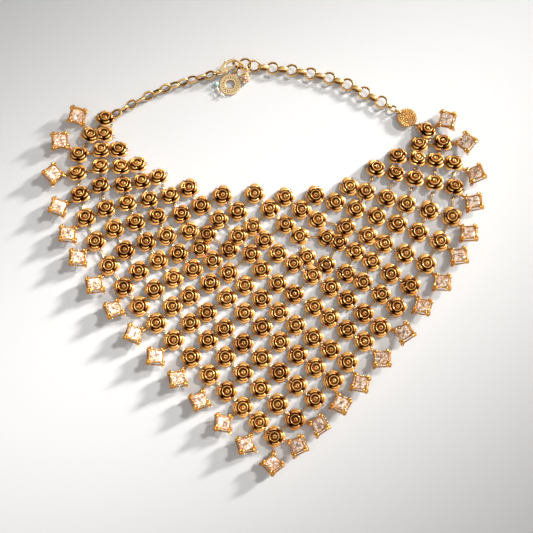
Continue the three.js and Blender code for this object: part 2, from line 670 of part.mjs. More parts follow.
// Crystal ball charm: a faceted stone under a gold cap, with its loop on the spare link
function buildBall() {
  const profile = [[0, -BALL_RADIUS], [0.55 * BALL_RADIUS, -0.85 * BALL_RADIUS], [BALL_RADIUS, 0],
    [0.85 * BALL_RADIUS, 0.5 * BALL_RADIUS], [0.7 * BALL_RADIUS, BALL_RADIUS],
    [0, BALL_RADIUS + 0.2]].map(([r, h]) => new THREE.Vector2(r, h));
  const ball = new THREE.LatheGeometry(profile, 10);
  const loop = loopGeometry({ length: BALL_LOOP, width: BALL_LOOP, wire: RING_WIRE });
  const loopAt = BALL_RADIUS + BALL_LOOP / 2;
  loop.rotateY(Math.PI / 2).translate(0, loopAt, 0);
  const charm = join([ball, loop]);
  const hook = spareLink.place.clone();
  hook.y -= roundReach;
  const slope = Math.asin((hook.z - BALL_RADIUS) / loopAt);
  charm.rotateX(slope);
  return charm.translate(hook.x, hook.y - loopAt * Math.cos(slope), hook.z - loopAt * Math.sin(slope));
}

// Stone charm: a turquoise bead and pearls on an arc of wire beside the tag
function buildStoneCharm() {
  const bead = (radius, degrees, reach) => {
    const ball = new THREE.SphereGeometry(radius, 10, 4);
    return ball.translate(tag.centre.x + reach * Math.cos(radians(degrees)),
      tag.centre.y + reach * Math.sin(radians(degrees)), CHARM_HEIGHT);
  };
  const arc = new THREE.EllipseCurve(0, 0, CHARM_REACH, CHARM_REACH, radians(165), radians(245), false, 0);
  const path = new THREE.CatmullRomCurve3(arc.getPoints(4).map((p) => (
    new THREE.Vector3(tag.centre.x + p.x, tag.centre.y + p.y, CHARM_HEIGHT))));
  const section = new THREE.Shape(ovalPoints(0, 0, CHARM_WIRE / 2, CHARM_WIRE / 2, 5).map(([x, y]) => (
    new THREE.Vector2(x, y))));
  const wire = new THREE.ExtrudeGeometry(section, { extrudePath: path, steps: 5, bevelEnabled: false });
  return join([wire, bead(STONE_BEAD, 178, CHARM_REACH), bead(PEARL_BEAD, 203, CHARM_REACH),
    bead(PEARL_BEAD, 228, CHARM_REACH)]);
}

const necklace = new THREE.Group();

function addPiece(name, geometry, finish) {
  const mesh = new THREE.Mesh(geometry, new THREE.MeshStandardMaterial(finish));
  mesh.name = name;
  necklace.add(mesh);
}

addPiece('rose_net_left', join([buildNet('left'), layLink(leftLinks[0])]), antiqueGold);
addPiece('rose_net_right', join([buildNet('right'), layLink(endLink)]), antiqueGold);

// A drop that would lie on a rose is pushed off it
function clearOfRoses(place) {
  const moved = place.clone();
  for (let pass = 0; pass < 4; pass += 1) {
    for (const rose of roses) {
      const away = moved.clone().sub(rose.place);
      if (away.length() < DROP_CLEARANCE) moved.copy(rose.place).add(away.setLength(DROP_CLEARANCE));
    }
  }
  return moved;
}

const drops = [...placesAlong(fringeRoutes.left).reverse(), ...placesAlong(fringeRoutes.point),
  ...placesAlong(fringeRoutes.right)];
drops.map(clearOfRoses).forEach((place, i) => {
  const rose = roses.reduce((best, other) => (
    other.place.distanceTo(place) < best.place.distanceTo(place) ? other : best));
  addPiece(`crystal_drop_${String(i + 1).padStart(2, '0')}`, buildDrop(place, rose), settingGold);
});

addPiece('chain_left', join(leftLinks.slice(1, -1).map(layLink)), antiqueGold);
addPiece('clasp_ring', layLink(leftRing), antiqueGold);
addPiece('clasp_body', buildClaspBody().applyMatrix4(claspFrame), paleGold);
addPiece('clasp_lever', buildClaspLever().applyMatrix4(claspFrame), paleGold);
addPiece('clasp_link', layLink(claspLink), antiqueGold);
addPiece('spare_link', layLink(spareLink), antiqueGold);
addPiece('chain_right', join(rightLinks.map(layLink)), antiqueGold);
addPiece('textured_disc', buildDisc(), antiqueGold);
addPiece('disc_ring', layLink(discRing), antiqueGold);
addPiece('tag_link', layLink(tagLink), antiqueGold);
addPiece('tag', tag.geometry, paleGold);
addPiece('stone_charm', buildStoneCharm(), turquoise);
addPiece('ball_charm', buildBall(), peachStone);

export default necklace;
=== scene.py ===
# %% [markdown]
# # A bib necklace of cast roses
# The necklace lies open on a pale table. Its bib is a net of 154 cast metal roses that small jump rings
# join corner to corner, with a fringe of 29 square crystals in claw settings. A back chain, a lobster
# clasp and a few charms close it. The solids come packed from the CAD source; this lesson dresses them
# with the real thing's detail: petals with curled lips, beaded settings, faceted stones and smooth links.
# Lengths are in millimetres while shapes are worked out, and each mesh turns them into metres.

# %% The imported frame
import math

import bmesh
import bpy
import numpy as np
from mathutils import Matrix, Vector


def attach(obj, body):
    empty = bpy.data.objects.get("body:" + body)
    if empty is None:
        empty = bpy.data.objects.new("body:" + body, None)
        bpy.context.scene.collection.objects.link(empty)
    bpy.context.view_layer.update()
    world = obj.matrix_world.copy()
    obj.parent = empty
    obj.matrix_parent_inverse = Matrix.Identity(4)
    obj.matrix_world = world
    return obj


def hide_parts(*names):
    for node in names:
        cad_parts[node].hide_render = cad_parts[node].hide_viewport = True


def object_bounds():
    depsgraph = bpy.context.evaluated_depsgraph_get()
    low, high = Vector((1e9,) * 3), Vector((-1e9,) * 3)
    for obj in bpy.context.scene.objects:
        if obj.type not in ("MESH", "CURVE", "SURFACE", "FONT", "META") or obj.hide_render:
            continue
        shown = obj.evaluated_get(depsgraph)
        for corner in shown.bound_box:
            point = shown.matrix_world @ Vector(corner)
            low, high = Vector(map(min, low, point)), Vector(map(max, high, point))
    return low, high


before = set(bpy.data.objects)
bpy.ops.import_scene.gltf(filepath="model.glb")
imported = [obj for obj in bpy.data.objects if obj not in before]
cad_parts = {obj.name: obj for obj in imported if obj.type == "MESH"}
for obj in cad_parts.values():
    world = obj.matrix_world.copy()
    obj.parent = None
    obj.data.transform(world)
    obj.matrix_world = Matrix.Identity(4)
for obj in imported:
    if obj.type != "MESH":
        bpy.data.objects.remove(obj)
cad_box = [list(corner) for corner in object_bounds()]
MM = 0.001
SEED = 11
rng = np.random.default_rng(SEED)
print("CAD box in mm:", [[round(1000 * value, 1) for value in corner] for corner in cad_box])

# %% [markdown]
# ## Shapes as arrays
# Every new piece here is a surface worked out as whole arrays. The basic one is a loft: a stack of
# closed rings of points, one after the other, with its ends closed at a middle point or with the last
# ring joined to the first. Petals, wires, stones and beads are all lofts. The alternative would be to
# push vertices about by hand or to subdivide a primitive, but a formula keeps every piece exact and
# lets one rose be copied to 154 places in a single step.

# %% Shape helpers
class Shape:
    """Points in mm, faces as four corner numbers (the last one -1 on a triangle), and how recessed each
    point is, from 0 on a lip to 1 in a crevice. On gold this value sets the patina and painted shade of
    the hollows; on the stones it carries each facet's tone of painted reflection instead."""

    def __init__(self, points, faces, recess):
        self.points = np.asarray(points, float).reshape(-1, 3)
        self.faces = np.asarray(faces, int).reshape(-1, 4)
        self.recess = np.broadcast_to(np.asarray(recess, float), (len(self.points),)).copy()

    def volume(self):
        """Signed volume: a sixth of the sum of the triple products of each triangle's corners."""
        p, f = self.points, self.faces
        first = np.einsum("ij,ij->", p[f[:, 0]], np.cross(p[f[:, 1]], p[f[:, 2]]))
        g = f[f[:, 3] >= 0]
        return (first + np.einsum("ij,ij->", p[g[:, 0]], np.cross(p[g[:, 2]], p[g[:, 3]]))) / 6


def outward(shape):
    """The same shape with its faces turned over if they point inwards."""
    if shape.volume() < 0:
        f = shape.faces
        quad = f[:, 3] >= 0
        shape.faces = np.where(quad[:, None], f[:, ::-1], f[:, [0, 2, 1, 3]])
    return shape


def loft(rings, recess=0.0, closed=False):
    """Closed surface through rings of points, an array of rings x points x 3. The end rings are closed
    with fans to their middle points, or the last ring is joined to the first if closed is true."""
    rings = np.asarray(rings, float)
    rows, columns = rings.shape[:2]
    recess = np.broadcast_to(np.asarray(recess, float), (rows, columns)).reshape(-1)
    i, j = np.meshgrid(np.arange(rows if closed else rows - 1), np.arange(columns), indexing="ij")
    down, right = (i + 1) % rows, (j + 1) % columns
    faces = np.stack([i * columns + j, i * columns + right, down * columns + right, down * columns + j], -1)
    points, faces = rings.reshape(-1, 3), faces.reshape(-1, 4)
    if not closed:
        ends = np.stack([rings[0].mean(0), rings[-1].mean(0)])
        k = np.arange(columns)
        k1 = (k + 1) % columns
        low, high = rows * columns, rows * columns + 1
        last = (rows - 1) * columns
        none = np.full(columns, -1)
        caps = [np.stack([np.full(columns, low), k1, k, none], -1),
                np.stack([np.full(columns, high), last + k, last + k1, none], -1)]
        points, faces = np.vstack([points, ends]), np.vstack([faces, *caps])
        recess = np.append(recess, [recess[:columns].mean(), recess[-columns:].mean()])
    return outward(Shape(points, faces, recess))


def together(shapes):
    """Several shapes as one."""
    starts = np.cumsum([0] + [len(s.points) for s in shapes[:-1]])
    faces = [np.where(s.faces >= 0, s.faces + start, -1) for s, start in zip(shapes, starts)]
    return Shape(np.vstack([s.points for s in shapes]), np.vstack(faces),
                 np.concatenate([s.recess for s in shapes]))


print("shapes, lofts and groups ready")

# %% Copies and turns
def copies(shape, turns, places):
    """One shape at many places: every point is multiplied by each turn matrix and moved to its place."""
    turns, places = np.asarray(turns, float).reshape(-1, 3, 3), np.asarray(places, float).reshape(-1, 3)
    count, size = len(places), len(shape.points)
    points = np.einsum("nij,vj->nvi", turns, shape.points) + places[:, None, :]
    shift = (np.arange(count) * size)[:, None, None]
    faces = np.where(shape.faces[None] >= 0, shape.faces[None] + shift, -1)
    return Shape(points, faces, np.tile(shape.recess, count))


def moved(shape, place):
    """The same shape, each point moved by place."""
    return Shape(shape.points + np.asarray(place, float), shape.faces, shape.recess)


def turn(axis, degrees):
    """Rotation matrices about x, y or z, one for each angle given."""
    a = np.radians(np.atleast_1d(np.asarray(degrees, float)))
    c, s, o, e = np.cos(a), np.sin(a), np.zeros_like(a), np.ones_like(a)
    rows = {"x": [[e, o, o], [o, c, -s], [o, s, c]], "y": [[c, o, s], [o, e, o], [-s, o, c]],
            "z": [[c, -s, o], [s, c, o], [o, o, e]]}[axis]
    return np.moveaxis(np.array(rows), 2, 0)


def round_axis(shape, angles):
    """Copies of a shape turned about the z axis by each of the angles."""
    return copies(shape, turn("z", angles), np.zeros((len(angles), 3)))


def triangle_count(shape):
    """Triangles of a shape, with each four-sided face counted as two."""
    return int(np.where(shape.faces[:, 3] >= 0, 2, 1).sum())


def smooth(low, high, value):
    """Smooth step from 0 at low to 1 at high."""
    t = np.clip((value - low) / (high - low), 0, 1)
    return t * t * (3 - 2 * t)


print("copies and turns ready")

# %% Putting a shape into the scene
total_triangles = 0


def add_piece(name, shape, material, replaces=(), body="necklace", smoothed=True):
    """Makes the mesh in metres, with its recess as a point attribute, and lets it ride on a CAD body."""
    global total_triangles
    values = shape.recess.astype(np.float32)
    mesh = bpy.data.meshes.new(name)
    corners = np.where(shape.faces[:, 3] >= 0, 4, 3)
    mesh.vertices.add(len(shape.points))
    mesh.vertices.foreach_set("co", (shape.points * MM).astype(np.float32).ravel())
    mesh.loops.add(int(corners.sum()))
    mesh.loops.foreach_set("vertex_index", shape.faces[shape.faces >= 0].astype(np.int32))
    mesh.polygons.add(len(shape.faces))
    mesh.polygons.foreach_set("loop_start", np.append(0, np.cumsum(corners)[:-1]).astype(np.int32))
    mesh.polygons.foreach_set("use_smooth", np.full(len(shape.faces), smoothed))
    mesh.update(calc_edges=True)
    mesh.attributes.new("recess", "FLOAT", "POINT").data.foreach_set("value", values)
    mesh.materials.append(material)
    piece = bpy.data.objects.new(name, mesh)
    bpy.context.scene.collection.objects.link(piece)
    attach(piece, body)
    if replaces:
        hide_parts(*replaces)
    total_triangles += triangle_count(shape)
    print(f"{name}: {triangle_count(shape)} triangles")


# %% [markdown]
# ## Camera
# The photograph looks down on the table from almost straight above, a little from the front, through a
# short telephoto lens. The camera sits at the place worked out from the shape of the bib in the picture.
# It could also be fitted by eye, but the same figures gave the places of the roses, so they agree.

# %% Camera
CAMERA_PLACE = (-6.3, -80.8, 542.5)
CAMERA_TARGET = (-6.3, 10.0, 0.0)
LENS = 66.9
SENSOR = 36.0

camera = bpy.data.objects.new("camera", bpy.data.cameras.new("camera"))
camera.data.lens = LENS
camera.data.sensor_width = SENSOR
camera.data.clip_start = 0.01
camera.location = Vector(CAMERA_PLACE) * MM
look = (Vector(CAMERA_TARGET) - Vector(CAMERA_PLACE)).normalized()
camera.rotation_euler = look.to_track_quat("-Z", "Y").to_euler()
bpy.context.scene.collection.objects.link(camera)
bpy.context.scene.camera = camera
print("camera is", round((Vector(CAMERA_TARGET) - Vector(CAMERA_PLACE)).length), "mm from the table")

# %% [markdown]
# ## Materials as nodes
# A finish is a small tree of shader nodes: noises and ramps that feed one Principled shader. The trees
# could be drawn by hand in the shader editor; written out, the same few helpers serve every finish here.

# %% Helpers for materials
def plain_material(name, colour, roughness, **values):
    """Material with one Principled shader, whose inputs are set from the values. Nodes are then added."""
    material = bpy.data.materials.new(name)
    material.use_nodes = True
    shader = material.node_tree.nodes["Principled BSDF"]
    set_inputs(shader, Base_Color=(*colour, 1), Roughness=roughness, **values)
    return material, material.node_tree, shader


def set_inputs(node, **values):
    """Sets inputs of a node by their names, with _ for each space."""
    for name, value in values.items():
        node.inputs[name.replace("_", " ")].default_value = value


def added(tree, kind, **values):
    """New node of a kind, its inputs set from the values."""
    node = tree.nodes.new("ShaderNode" + kind)
    set_inputs(node, **values)
    return node


def sum_node(tree):
    """Node that adds two values and keeps the sum between 0 and 1."""
    node = added(tree, "Math")
    node.operation = "ADD"
    node.use_clamp = True
    return node


def scaled_node(tree, factor, offset):
    """Node that multiplies a value by factor and adds offset."""
    node = added(tree, "Math")
    node.operation = "MULTIPLY_ADD"
    node.inputs[1].default_value = factor
    node.inputs[2].default_value = offset
    return node


def colour_ramp(tree, *stops):
    """Colour ramp node with a colour at each position."""
    node = added(tree, "ValToRGB")
    elements = node.color_ramp.elements
    for element, (position, colour) in zip(elements, (stops[0], stops[-1])):
        element.position = position
        element.color = (*colour, 1)
    for position, colour in stops[1:-1]:
        elements.new(position).color = (*colour, 1)
    return node


print("material helpers ready")

# %% [markdown]
# ## Table and light
# The necklace lies on a smooth white table. A low lamp at the upper right throws long soft shadows to
# the lower left, a second one above it lightens them, and a pale room opens the hollows. The lamps are
# spots with narrow soft beams rather than suns: at this low angle a beam lies across the table as a
# diagonal bright band, with greyer corners beyond it, as in the photograph. The room is brightest
# overhead and darker at its edges, so that metal has something light and something dark to reflect.

# %% Table
TABLE_HALF = 2.5
TABLE_TOP = -0.00005
table_material, table_tree, table_shader = plain_material("table_white", (0.60, 0.603, 0.605), 0.6)
speckle = added(table_tree, "TexNoise", Scale=900)
table_bump = added(table_tree, "Bump", Strength=0.03, Distance=0.0002)
table_tree.links.new(speckle.outputs["Fac"], table_bump.inputs["Height"])
table_tree.links.new(table_bump.outputs["Normal"], table_shader.inputs["Normal"])
table_mesh = bpy.data.meshes.new("table")
table_corners = [(x * TABLE_HALF, y * TABLE_HALF, TABLE_TOP) for x, y in ((-1, -1), (1, -1), (1, 1), (-1, 1))]
table_mesh.from_pydata(table_corners, [], [(0, 1, 2, 3)])
table_mesh.materials.append(table_material)
table = bpy.data.objects.new("table", table_mesh)
bpy.context.scene.collection.objects.link(table)
print("table", 2 * TABLE_HALF, "m wide")

# %% Lamps
LAMP_HEADING = 31
LAMP_COLOUR = (1.0, 0.985, 0.965)
EDGE_SOFTNESS = 0.8
LAMP_TARGET = Vector((-0.035, 0.006, 0.0))
LOW_LAMP = dict(height=19, distance=1.6, radius=0.15, power=400, cone=10.4)
HIGH_LAMP = dict(height=42, distance=2.2, radius=0.2, power=385, cone=8.0)


def beam(name, height, distance, radius, power, cone):
    """Spot lamp aimed at LAMP_TARGET from LAMP_HEADING, with a soft-edged narrow cone."""
    heading, rise = math.radians(LAMP_HEADING), math.radians(height)
    ray = Vector((math.cos(heading) * math.cos(rise), math.sin(heading) * math.cos(rise), math.sin(rise)))
    lamp = bpy.data.objects.new(name, bpy.data.lights.new(name, "SPOT"))
    lamp.data.energy = power
    lamp.data.shadow_soft_size = radius
    lamp.data.spot_size = math.radians(cone)
    lamp.data.spot_blend = EDGE_SOFTNESS
    lamp.data.color = LAMP_COLOUR
    lamp.location = LAMP_TARGET + ray * distance
    lamp.rotation_euler = ray.to_track_quat("Z", "Y").to_euler()
    bpy.context.scene.collection.objects.link(lamp)
    print(name, height, "degrees above the table, beam", cone, "degrees wide")


beam("low_lamp", **LOW_LAMP)
beam("high_lamp", **HIGH_LAMP)

# %% Room
ROOM_POWER = 0.70
world = bpy.data.worlds.new("room")
world.use_nodes = True
room = world.node_tree
background = room.nodes["Background"]
background.inputs["Strength"].default_value = ROOM_POWER
direction = added(room, "TexCoord")
split = added(room, "SeparateXYZ")
overhead = colour_ramp(room, (0.25, (0.15, 0.125, 0.105)), (0.6, (0.52, 0.48, 0.45)), (0.88, (1.0, 1.0, 1.0)))
front = added(room, "MapRange", From_Min=-0.6, From_Max=0.6, To_Min=1.9, To_Max=0.35)
shaded = added(room, "VectorMath")
shaded.operation = "SCALE"
room.links.new(direction.outputs["Generated"], split.inputs["Vector"])
room.links.new(split.outputs["Z"], overhead.inputs["Fac"])
room.links.new(split.outputs["Y"], front.inputs["Value"])
room.links.new(overhead.outputs["Color"], shaded.inputs[0])
room.links.new(front.outputs["Result"], shaded.inputs["Scale"])
room.links.new(shaded.outputs["Vector"], background.inputs["Color"])
bpy.context.scene.world = world
bpy.context.scene.view_settings.view_transform = "Standard"
print("room is brightest overhead and towards the viewer")

# %% [markdown]
# ## Gold that is dark in its hollows
# Antique gold plate is darkened and then rubbed bright, so lips and edges shine pale and hollows stay
# amber to dark brown. Here the dark of the hollows is partly that patina and partly painted shade, the
# shade that falls into creases, under lips and between parts. Ambient occlusion could find the hollows,
# but it costs render time and an exported model loses it. Here each point knows how recessed it is, and
# a colour ramp on that value, broken up with noise, sets the colour; the roughness follows the same noise.

# %% Gold materials
STAIN_SCALE, STAIN_SPREAD = 420, 0.36
GRAIN_SCALE, GRAIN_BUMP = 1400, 0.25
AMBER_AT = 0.42


def gold_material(name, lip, amber, crevice, roughness, metallic):
    """Metal whose colour runs from lip over amber to crevice by the recess attribute and a noise; the dark
    crevice end is patina and painted shade. A metallic value below 1 leaves the matte share of old
    lacquer, which throws a warm glow on the table."""
    material, tree, shader = plain_material(name, lip, roughness, Metallic=metallic)
    recess = added(tree, "Attribute")
    recess.attribute_name = "recess"
    place = added(tree, "TexCoord")
    stain = added(tree, "TexNoise", Scale=STAIN_SCALE, Detail=3)
    spread = scaled_node(tree, STAIN_SPREAD, -STAIN_SPREAD / 2)
    mixed = sum_node(tree)
    # Ramp from lip to crevice: the dark end is patina and painted shade in the hollows.
    ramp = colour_ramp(tree, (0.0, lip), (AMBER_AT, amber), (1.0, crevice))
    fine = added(tree, "TexNoise", Scale=GRAIN_SCALE)
    rough = added(tree, "MapRange", To_Min=roughness - 0.08, To_Max=roughness + 0.12)
    dents = added(tree, "Bump", Strength=GRAIN_BUMP, Distance=0.0001)
    link = tree.links.new
    for noise in (stain, fine):
        link(place.outputs["Object"], noise.inputs["Vector"])
    link(stain.outputs["Fac"], spread.inputs[0])
    link(spread.outputs[0], mixed.inputs[0])
    link(recess.outputs["Fac"], mixed.inputs[1])
    link(mixed.outputs[0], ramp.inputs["Fac"])
    link(ramp.outputs["Color"], shader.inputs["Base Color"])
    link(fine.outputs["Fac"], rough.inputs["Value"])
    link(rough.outputs["Result"], shader.inputs["Roughness"])
    link(fine.outputs["Fac"], dents.inputs["Height"])
    link(dents.outputs["Normal"], shader.inputs["Normal"])
    return material


# Crevice colours are near black: patina and painted shade in the deepest hollows.
GOLDS = {
    "rose_gold": dict(lip=(0.95, 0.55, 0.17), amber=(0.46, 0.13, 0.008), crevice=(0.05, 0.010, 0.001),
                      roughness=0.25, metallic=0.6),
    "setting_gold": dict(lip=(0.92, 0.50, 0.13), amber=(0.50, 0.16, 0.012), crevice=(0.08, 0.018, 0.002),
                         roughness=0.2, metallic=0.8),
    "chain_gold": dict(lip=(0.92, 0.58, 0.22), amber=(0.46, 0.21, 0.035), crevice=(0.08, 0.026, 0.004),
                       roughness=0.25, metallic=0.8),
    "clasp_gold": dict(lip=(1.0, 0.74, 0.40), amber=(0.60, 0.36, 0.12), crevice=(0.12, 0.05, 0.012),
                       roughness=0.3, metallic=0.8),
    "ground_gold": dict(lip=(0.40, 0.19, 0.04), amber=(0.24, 0.10, 0.02), crevice=(0.06, 0.02, 0.004),
                        roughness=0.35, metallic=0.8),
}
rose_gold, setting_gold, chain_gold, clasp_gold, ground_gold = (
    gold_material(name, **finish) for name, finish in GOLDS.items())
print("gold in", len(GOLDS), "finishes")

# %% [markdown]
# ## Where the roses are
# The roses hang in strands that run from the lower right edge of the bib up to its left side. A few
# places on each strand were read from the photograph, and a smooth curve through them gives the rest.
# The same knots and the same rule place the solids, so each dressed rose sits on its solid.

# %% Strands
STRANDS = [
    [[0, -2, -83], [3, -28, -59], [6, -57, -31], [9, -85, -2], [12, -107, 37], [15, -112, 73], [17, -98, 94]],
    [[0, 9, -74], [3, -19, -49], [6, -48, -22], [9, -77, 7], [12, -96, 42], [14, -100, 66], [16, -98, 85]],
    [[0, 20, -63], [3, -9, -41], [6, -39, -16], [9, -66, 13], [12, -84, 45], [15, -90, 76]],
    [[0, 30, -53], [3, 1, -32], [6, -28, -8], [9, -55, 17], [12, -72, 47], [14, -79, 67]],
    [[0, 38, -43], [3, 10, -23], [6, -18, -1], [9, -43, 20], [11, -54, 39], [13, -67, 60]],
    [[0, -27, 19], [1, -39, 28]],
    [[0, 47, -32], [3, 20, -13], [5, 0, 0], [6, -9, 8], [8, -22, 27], [10, -43, 44], [11, -50, 54]],
    [[0, 56, -24], [3, 29, -2], [6, 0, 17], [8, -14, 32], [10, -31, 50]],
    [[0, 65, -13], [2, 47, 1], [5, 16, 15]],
    [[0, 73, -1], [3, 43, 18], [5, 27, 26], [6, 12, 27], [9, -13, 51]],
    [[0, 82, 11], [3, 50, 27], [4, 38, 32], [5, 22, 36], [7, 4, 49]],
    [[0, 90, 24], [3, 55, 38], [6, 21, 50]],
    [[0, 97, 38], [3, 61, 48], [5, 40, 55]],
    [[0, 99, 54], [2, 77, 59], [4, 55, 65]],
    [[0, 99, 68], [3, 68, 72]],
    [[0, 93, 80], [1, 80, 79]],
    [[0, 84, 87]],
]
FRINGE_LEFT = [[0, -18, -88], [3, -55, -53], [6, -90, -15], [9, -117, 27], [10, -122, 43], [11, -124, 62],
               [12, -121, 80], [13, -112, 94]]
FRINGE_POINT = [[0, -3, -98.5]]
FRINGE_RIGHT = [[0, 11, -88], [3, 44, -54], [6, 79, -13], [9, 106, 28], [10, 110, 45], [11, 111, 62],
                [12, 106, 80], [13, 96, 92]]


def with_ends(knots):
    """Knots with one more point beyond each end, straight on."""
    return np.vstack([2 * knots[0] - knots[1], knots, 2 * knots[-1] - knots[-2]])


def places_along(route):
    """Uniform Catmull-Rom curve through the knots, read at each whole number of the first column: on a
    leg from p1 to p2 the slopes at its ends are half of p2 - p0 and half of p3 - p1."""
    route = np.array(route, float)
    if len(route) == 1:
        return route[:, 1:]
    numbers, p = route[:, 0], with_ends(route[:, 1:])
    whole = np.arange(numbers[0], numbers[-1] + 1)
    leg = np.clip(np.searchsorted(numbers, whole, "right") - 1, 0, len(numbers) - 2)
    t = ((whole - numbers[leg]) / (numbers[leg + 1] - numbers[leg]))[:, None]
    p0, p1, p2, p3 = (p[leg + k] for k in range(4))
    m1, m2 = (p2 - p0) / 2, (p3 - p1) / 2
    return ((2 * t**3 - 3 * t**2 + 1) * p1 + (t**3 - 2 * t**2 + t) * m1 + (3 * t**2 - 2 * t**3) * p2
            + (t**3 - t**2) * m2)


strands = [places_along(route) for route in STRANDS]
rose_places = np.vstack(strands)
rose_strand = np.repeat(np.arange(len(strands)), [len(s) for s in strands])
print(len(rose_places), "roses in", len(strands), "strands")

# %% [markdown]
# ## Which roses are joined
# Each rose has four small loops. One faces the next rose of its strand, one the rose before, and two
# face the strands beside it. Neighbours in different strands are paired nearest first, as a maker would
# link the strands one after another.

# %% Joins
JOIN_SPAN = 16.6
SIDE_FACING = 0.72
joined = -np.ones((len(rose_places), 4), int)
for number in range(len(rose_places) - 1):
    if rose_strand[number] == rose_strand[number + 1]:
        joined[number, 1] = number + 1
        joined[number + 1, 3] = number
ahead = np.where(joined[:, 1] >= 0, joined[:, 1], np.arange(len(rose_places)))
behind = np.where(joined[:, 3] >= 0, joined[:, 3], np.arange(len(rose_places)))
along = rose_places[ahead] - rose_places[behind]
alone = np.linalg.norm(along, axis=1) < 1e-9
along[alone] = (-0.4, 0.9)
along /= np.linalg.norm(along, axis=1)[:, None]
across = np.stack([along[:, 1], -along[:, 0]], 1)

between = rose_places[None] - rose_places[:, None]
distance = np.linalg.norm(between, axis=2) + np.eye(len(rose_places)) * 1e6
facing = np.einsum("abk,ak->ab", between, across) / distance
later = rose_strand[None] - rose_strand[:, None]
allowed = (later > 0) & (later <= 2) & (distance < JOIN_SPAN) & (facing > SIDE_FACING)
candidates = np.argwhere(allowed)
for a, b in candidates[np.argsort(distance[allowed], kind="stable")]:
    if joined[a, 0] < 0 and joined[b, 2] < 0:
        joined[a, 0], joined[b, 2] = b, a

base = np.degrees(np.arctan2(along[:, 1], along[:, 0])) - 90
side_angles = np.zeros((len(rose_places), 4))
for side in range(4):
    fallback = base + 90 * side
    other = rose_places[joined[:, side]] - rose_places
    angle = np.degrees(np.arctan2(other[:, 1], other[:, 0]))
    angle = fallback + (angle - fallback + 180) % 360 - 180
    side_angles[:, side] = np.where(joined[:, side] >= 0, angle, fallback)
petal_angles = (side_angles + np.roll(side_angles, 1, axis=1) - [360, 0, 0, 0]) / 2
rose_turn = (petal_angles - 90 * np.arange(4)).mean(1)
nearest = distance.min(1)
print((joined >= 0).sum() // 2, "joins; nearest roses", round(nearest.min(), 1), "mm apart")

# %% [markdown]
# ## One rose
# A cast rose has four broad outer petals with rolled lips, a tighter ring of petals nearly in line with
# them, and a cup with a bright round rim that holds a spiral and a small ring. Sculpting one rose and
# scanning it would give the same thing; here each petal is a flattened tube that widens and closes in a
# round lip, so that all its edges are rounded as on a casting.

# %% Petals
def petal(start, reach, low, high, roll, half_width, thick, shade, sections=8, around=10):
    """Flattened tube from the heart to the lip. At the share v of its length the radius goes from start
    to reach, the height rises from low to high and falls by roll at the lip, and the half width grows
    and closes like an ellipse. Points across it keep their radius, so the petal bends round the heart.
    Its recess fades from 1 to 0 between the two shares of the length in shade, so its inner part is dark
    with patina and painted shade from the petals over it; its underside is light."""
    v = np.sin(np.linspace(0, 0.985, sections) * np.pi / 2)[:, None]
    a = (2 * np.pi * (np.arange(around) + 0.5) / around)[None]
    radius = start + (reach - start) * v
    height = low + (high - low) * smooth(0.2, 0.8, v) - roll * smooth(0.8, 1, v)
    closing = np.sqrt(1 - np.clip((v - 0.55) / 0.45, 0, 1)**2.4)
    width = half_width * (0.45 + 0.55 * smooth(0, 0.5, v)) * closing
    sideways = width * np.cos(a)
    bend = sideways / np.maximum(radius, 2.4)
    edge = (np.cos(a) * (0.4 + 0.6 * v))**2
    z = height + thick / 2 * np.sin(a) - 0.45 * roll * edge
    rings = np.stack([radius * np.cos(bend), radius * np.sin(bend), z], -1)
    # Inner part dark with patina and painted shade, fading to the light lip; the underside stays light.
    recess = np.where(np.sin(a) < 0, 0.15, 1 - smooth(*shade, v))
    return loft(rings, np.clip(recess, 0, 1))


OUTER_PETAL = dict(start=1.6, reach=6.05, low=1.1, high=2.7, roll=0.6, half_width=3.6, thick=0.5,
                   shade=(0.52, 0.84))
MIDDLE_PETAL = dict(start=1.8, reach=4.6, low=2.3, high=4.4, roll=0.3, half_width=2.4, thick=0.42,
                    shade=(0.5, 0.8))
QUARTERS = 90 * np.arange(4)
MIDDLE_TURN = 8
outer_petals = round_axis(petal(**OUTER_PETAL), QUARTERS)
middle_petals = round_axis(petal(**MIDDLE_PETAL), QUARTERS + MIDDLE_TURN)
print("four outer petals with", triangle_count(outer_petals), "triangles")

# %% Heart of the rose
def lathe(radii, heights, around=14, recess=0.0):
    """Profile turned round the z axis; its first and last points are closed on the axis."""
    a = (2 * np.pi * np.arange(around) / around)[None]
    r, z = np.asarray(radii, float)[:, None], np.asarray(heights, float)[:, None]
    rings = np.stack([r * np.cos(a), r * np.sin(a), z + 0 * a], -1)
    depth = np.broadcast_to(np.asarray(recess, float).reshape(-1, 1), r.shape) + 0 * a
    return loft(rings, depth)


def wall(radius, floor, top, thick, angles, closed):
    """Upright wall with a rounded top: at each angle its section, with shares of the thickness across and
    of the height upwards, stands at the radius. Radius, top and thickness may change along the wall."""
    section = np.array([[-0.5, 0], [0.5, 0], [0.5, 0.82], [0.2, 1], [-0.2, 1], [-0.5, 0.82]])
    radius, top, thick = (np.broadcast_to(value, angles.shape)[:, None] for value in (radius, top, thick))
    r = radius + thick * section[None, :, 0]
    z = floor + (top - floor) * section[None, :, 1]
    c, s = np.cos(angles)[:, None], np.sin(angles)[:, None]
    # Dark foot and light top of each wall: patina and painted shade at the foot.
    recess = np.broadcast_to([1, 1, 0.25, 0, 0, 0.3], z.shape)
    return loft(np.stack([r * c, r * s, z], -1), recess, closed)


def bead(radius, place, around=6, recess=0.0):
    """Small ball: rings of points at the heights of a sphere, closed at its poles."""
    lift = np.radians([-65, -25, 25, 65])
    return moved(lathe(radius * np.cos(lift), radius * np.sin(lift), around, recess), place)


def full_circle(count):
    """Angles of count points evenly round a circle."""
    return np.linspace(0, 2 * np.pi, count, endpoint=False)


print("lathe, wall and bead ready")

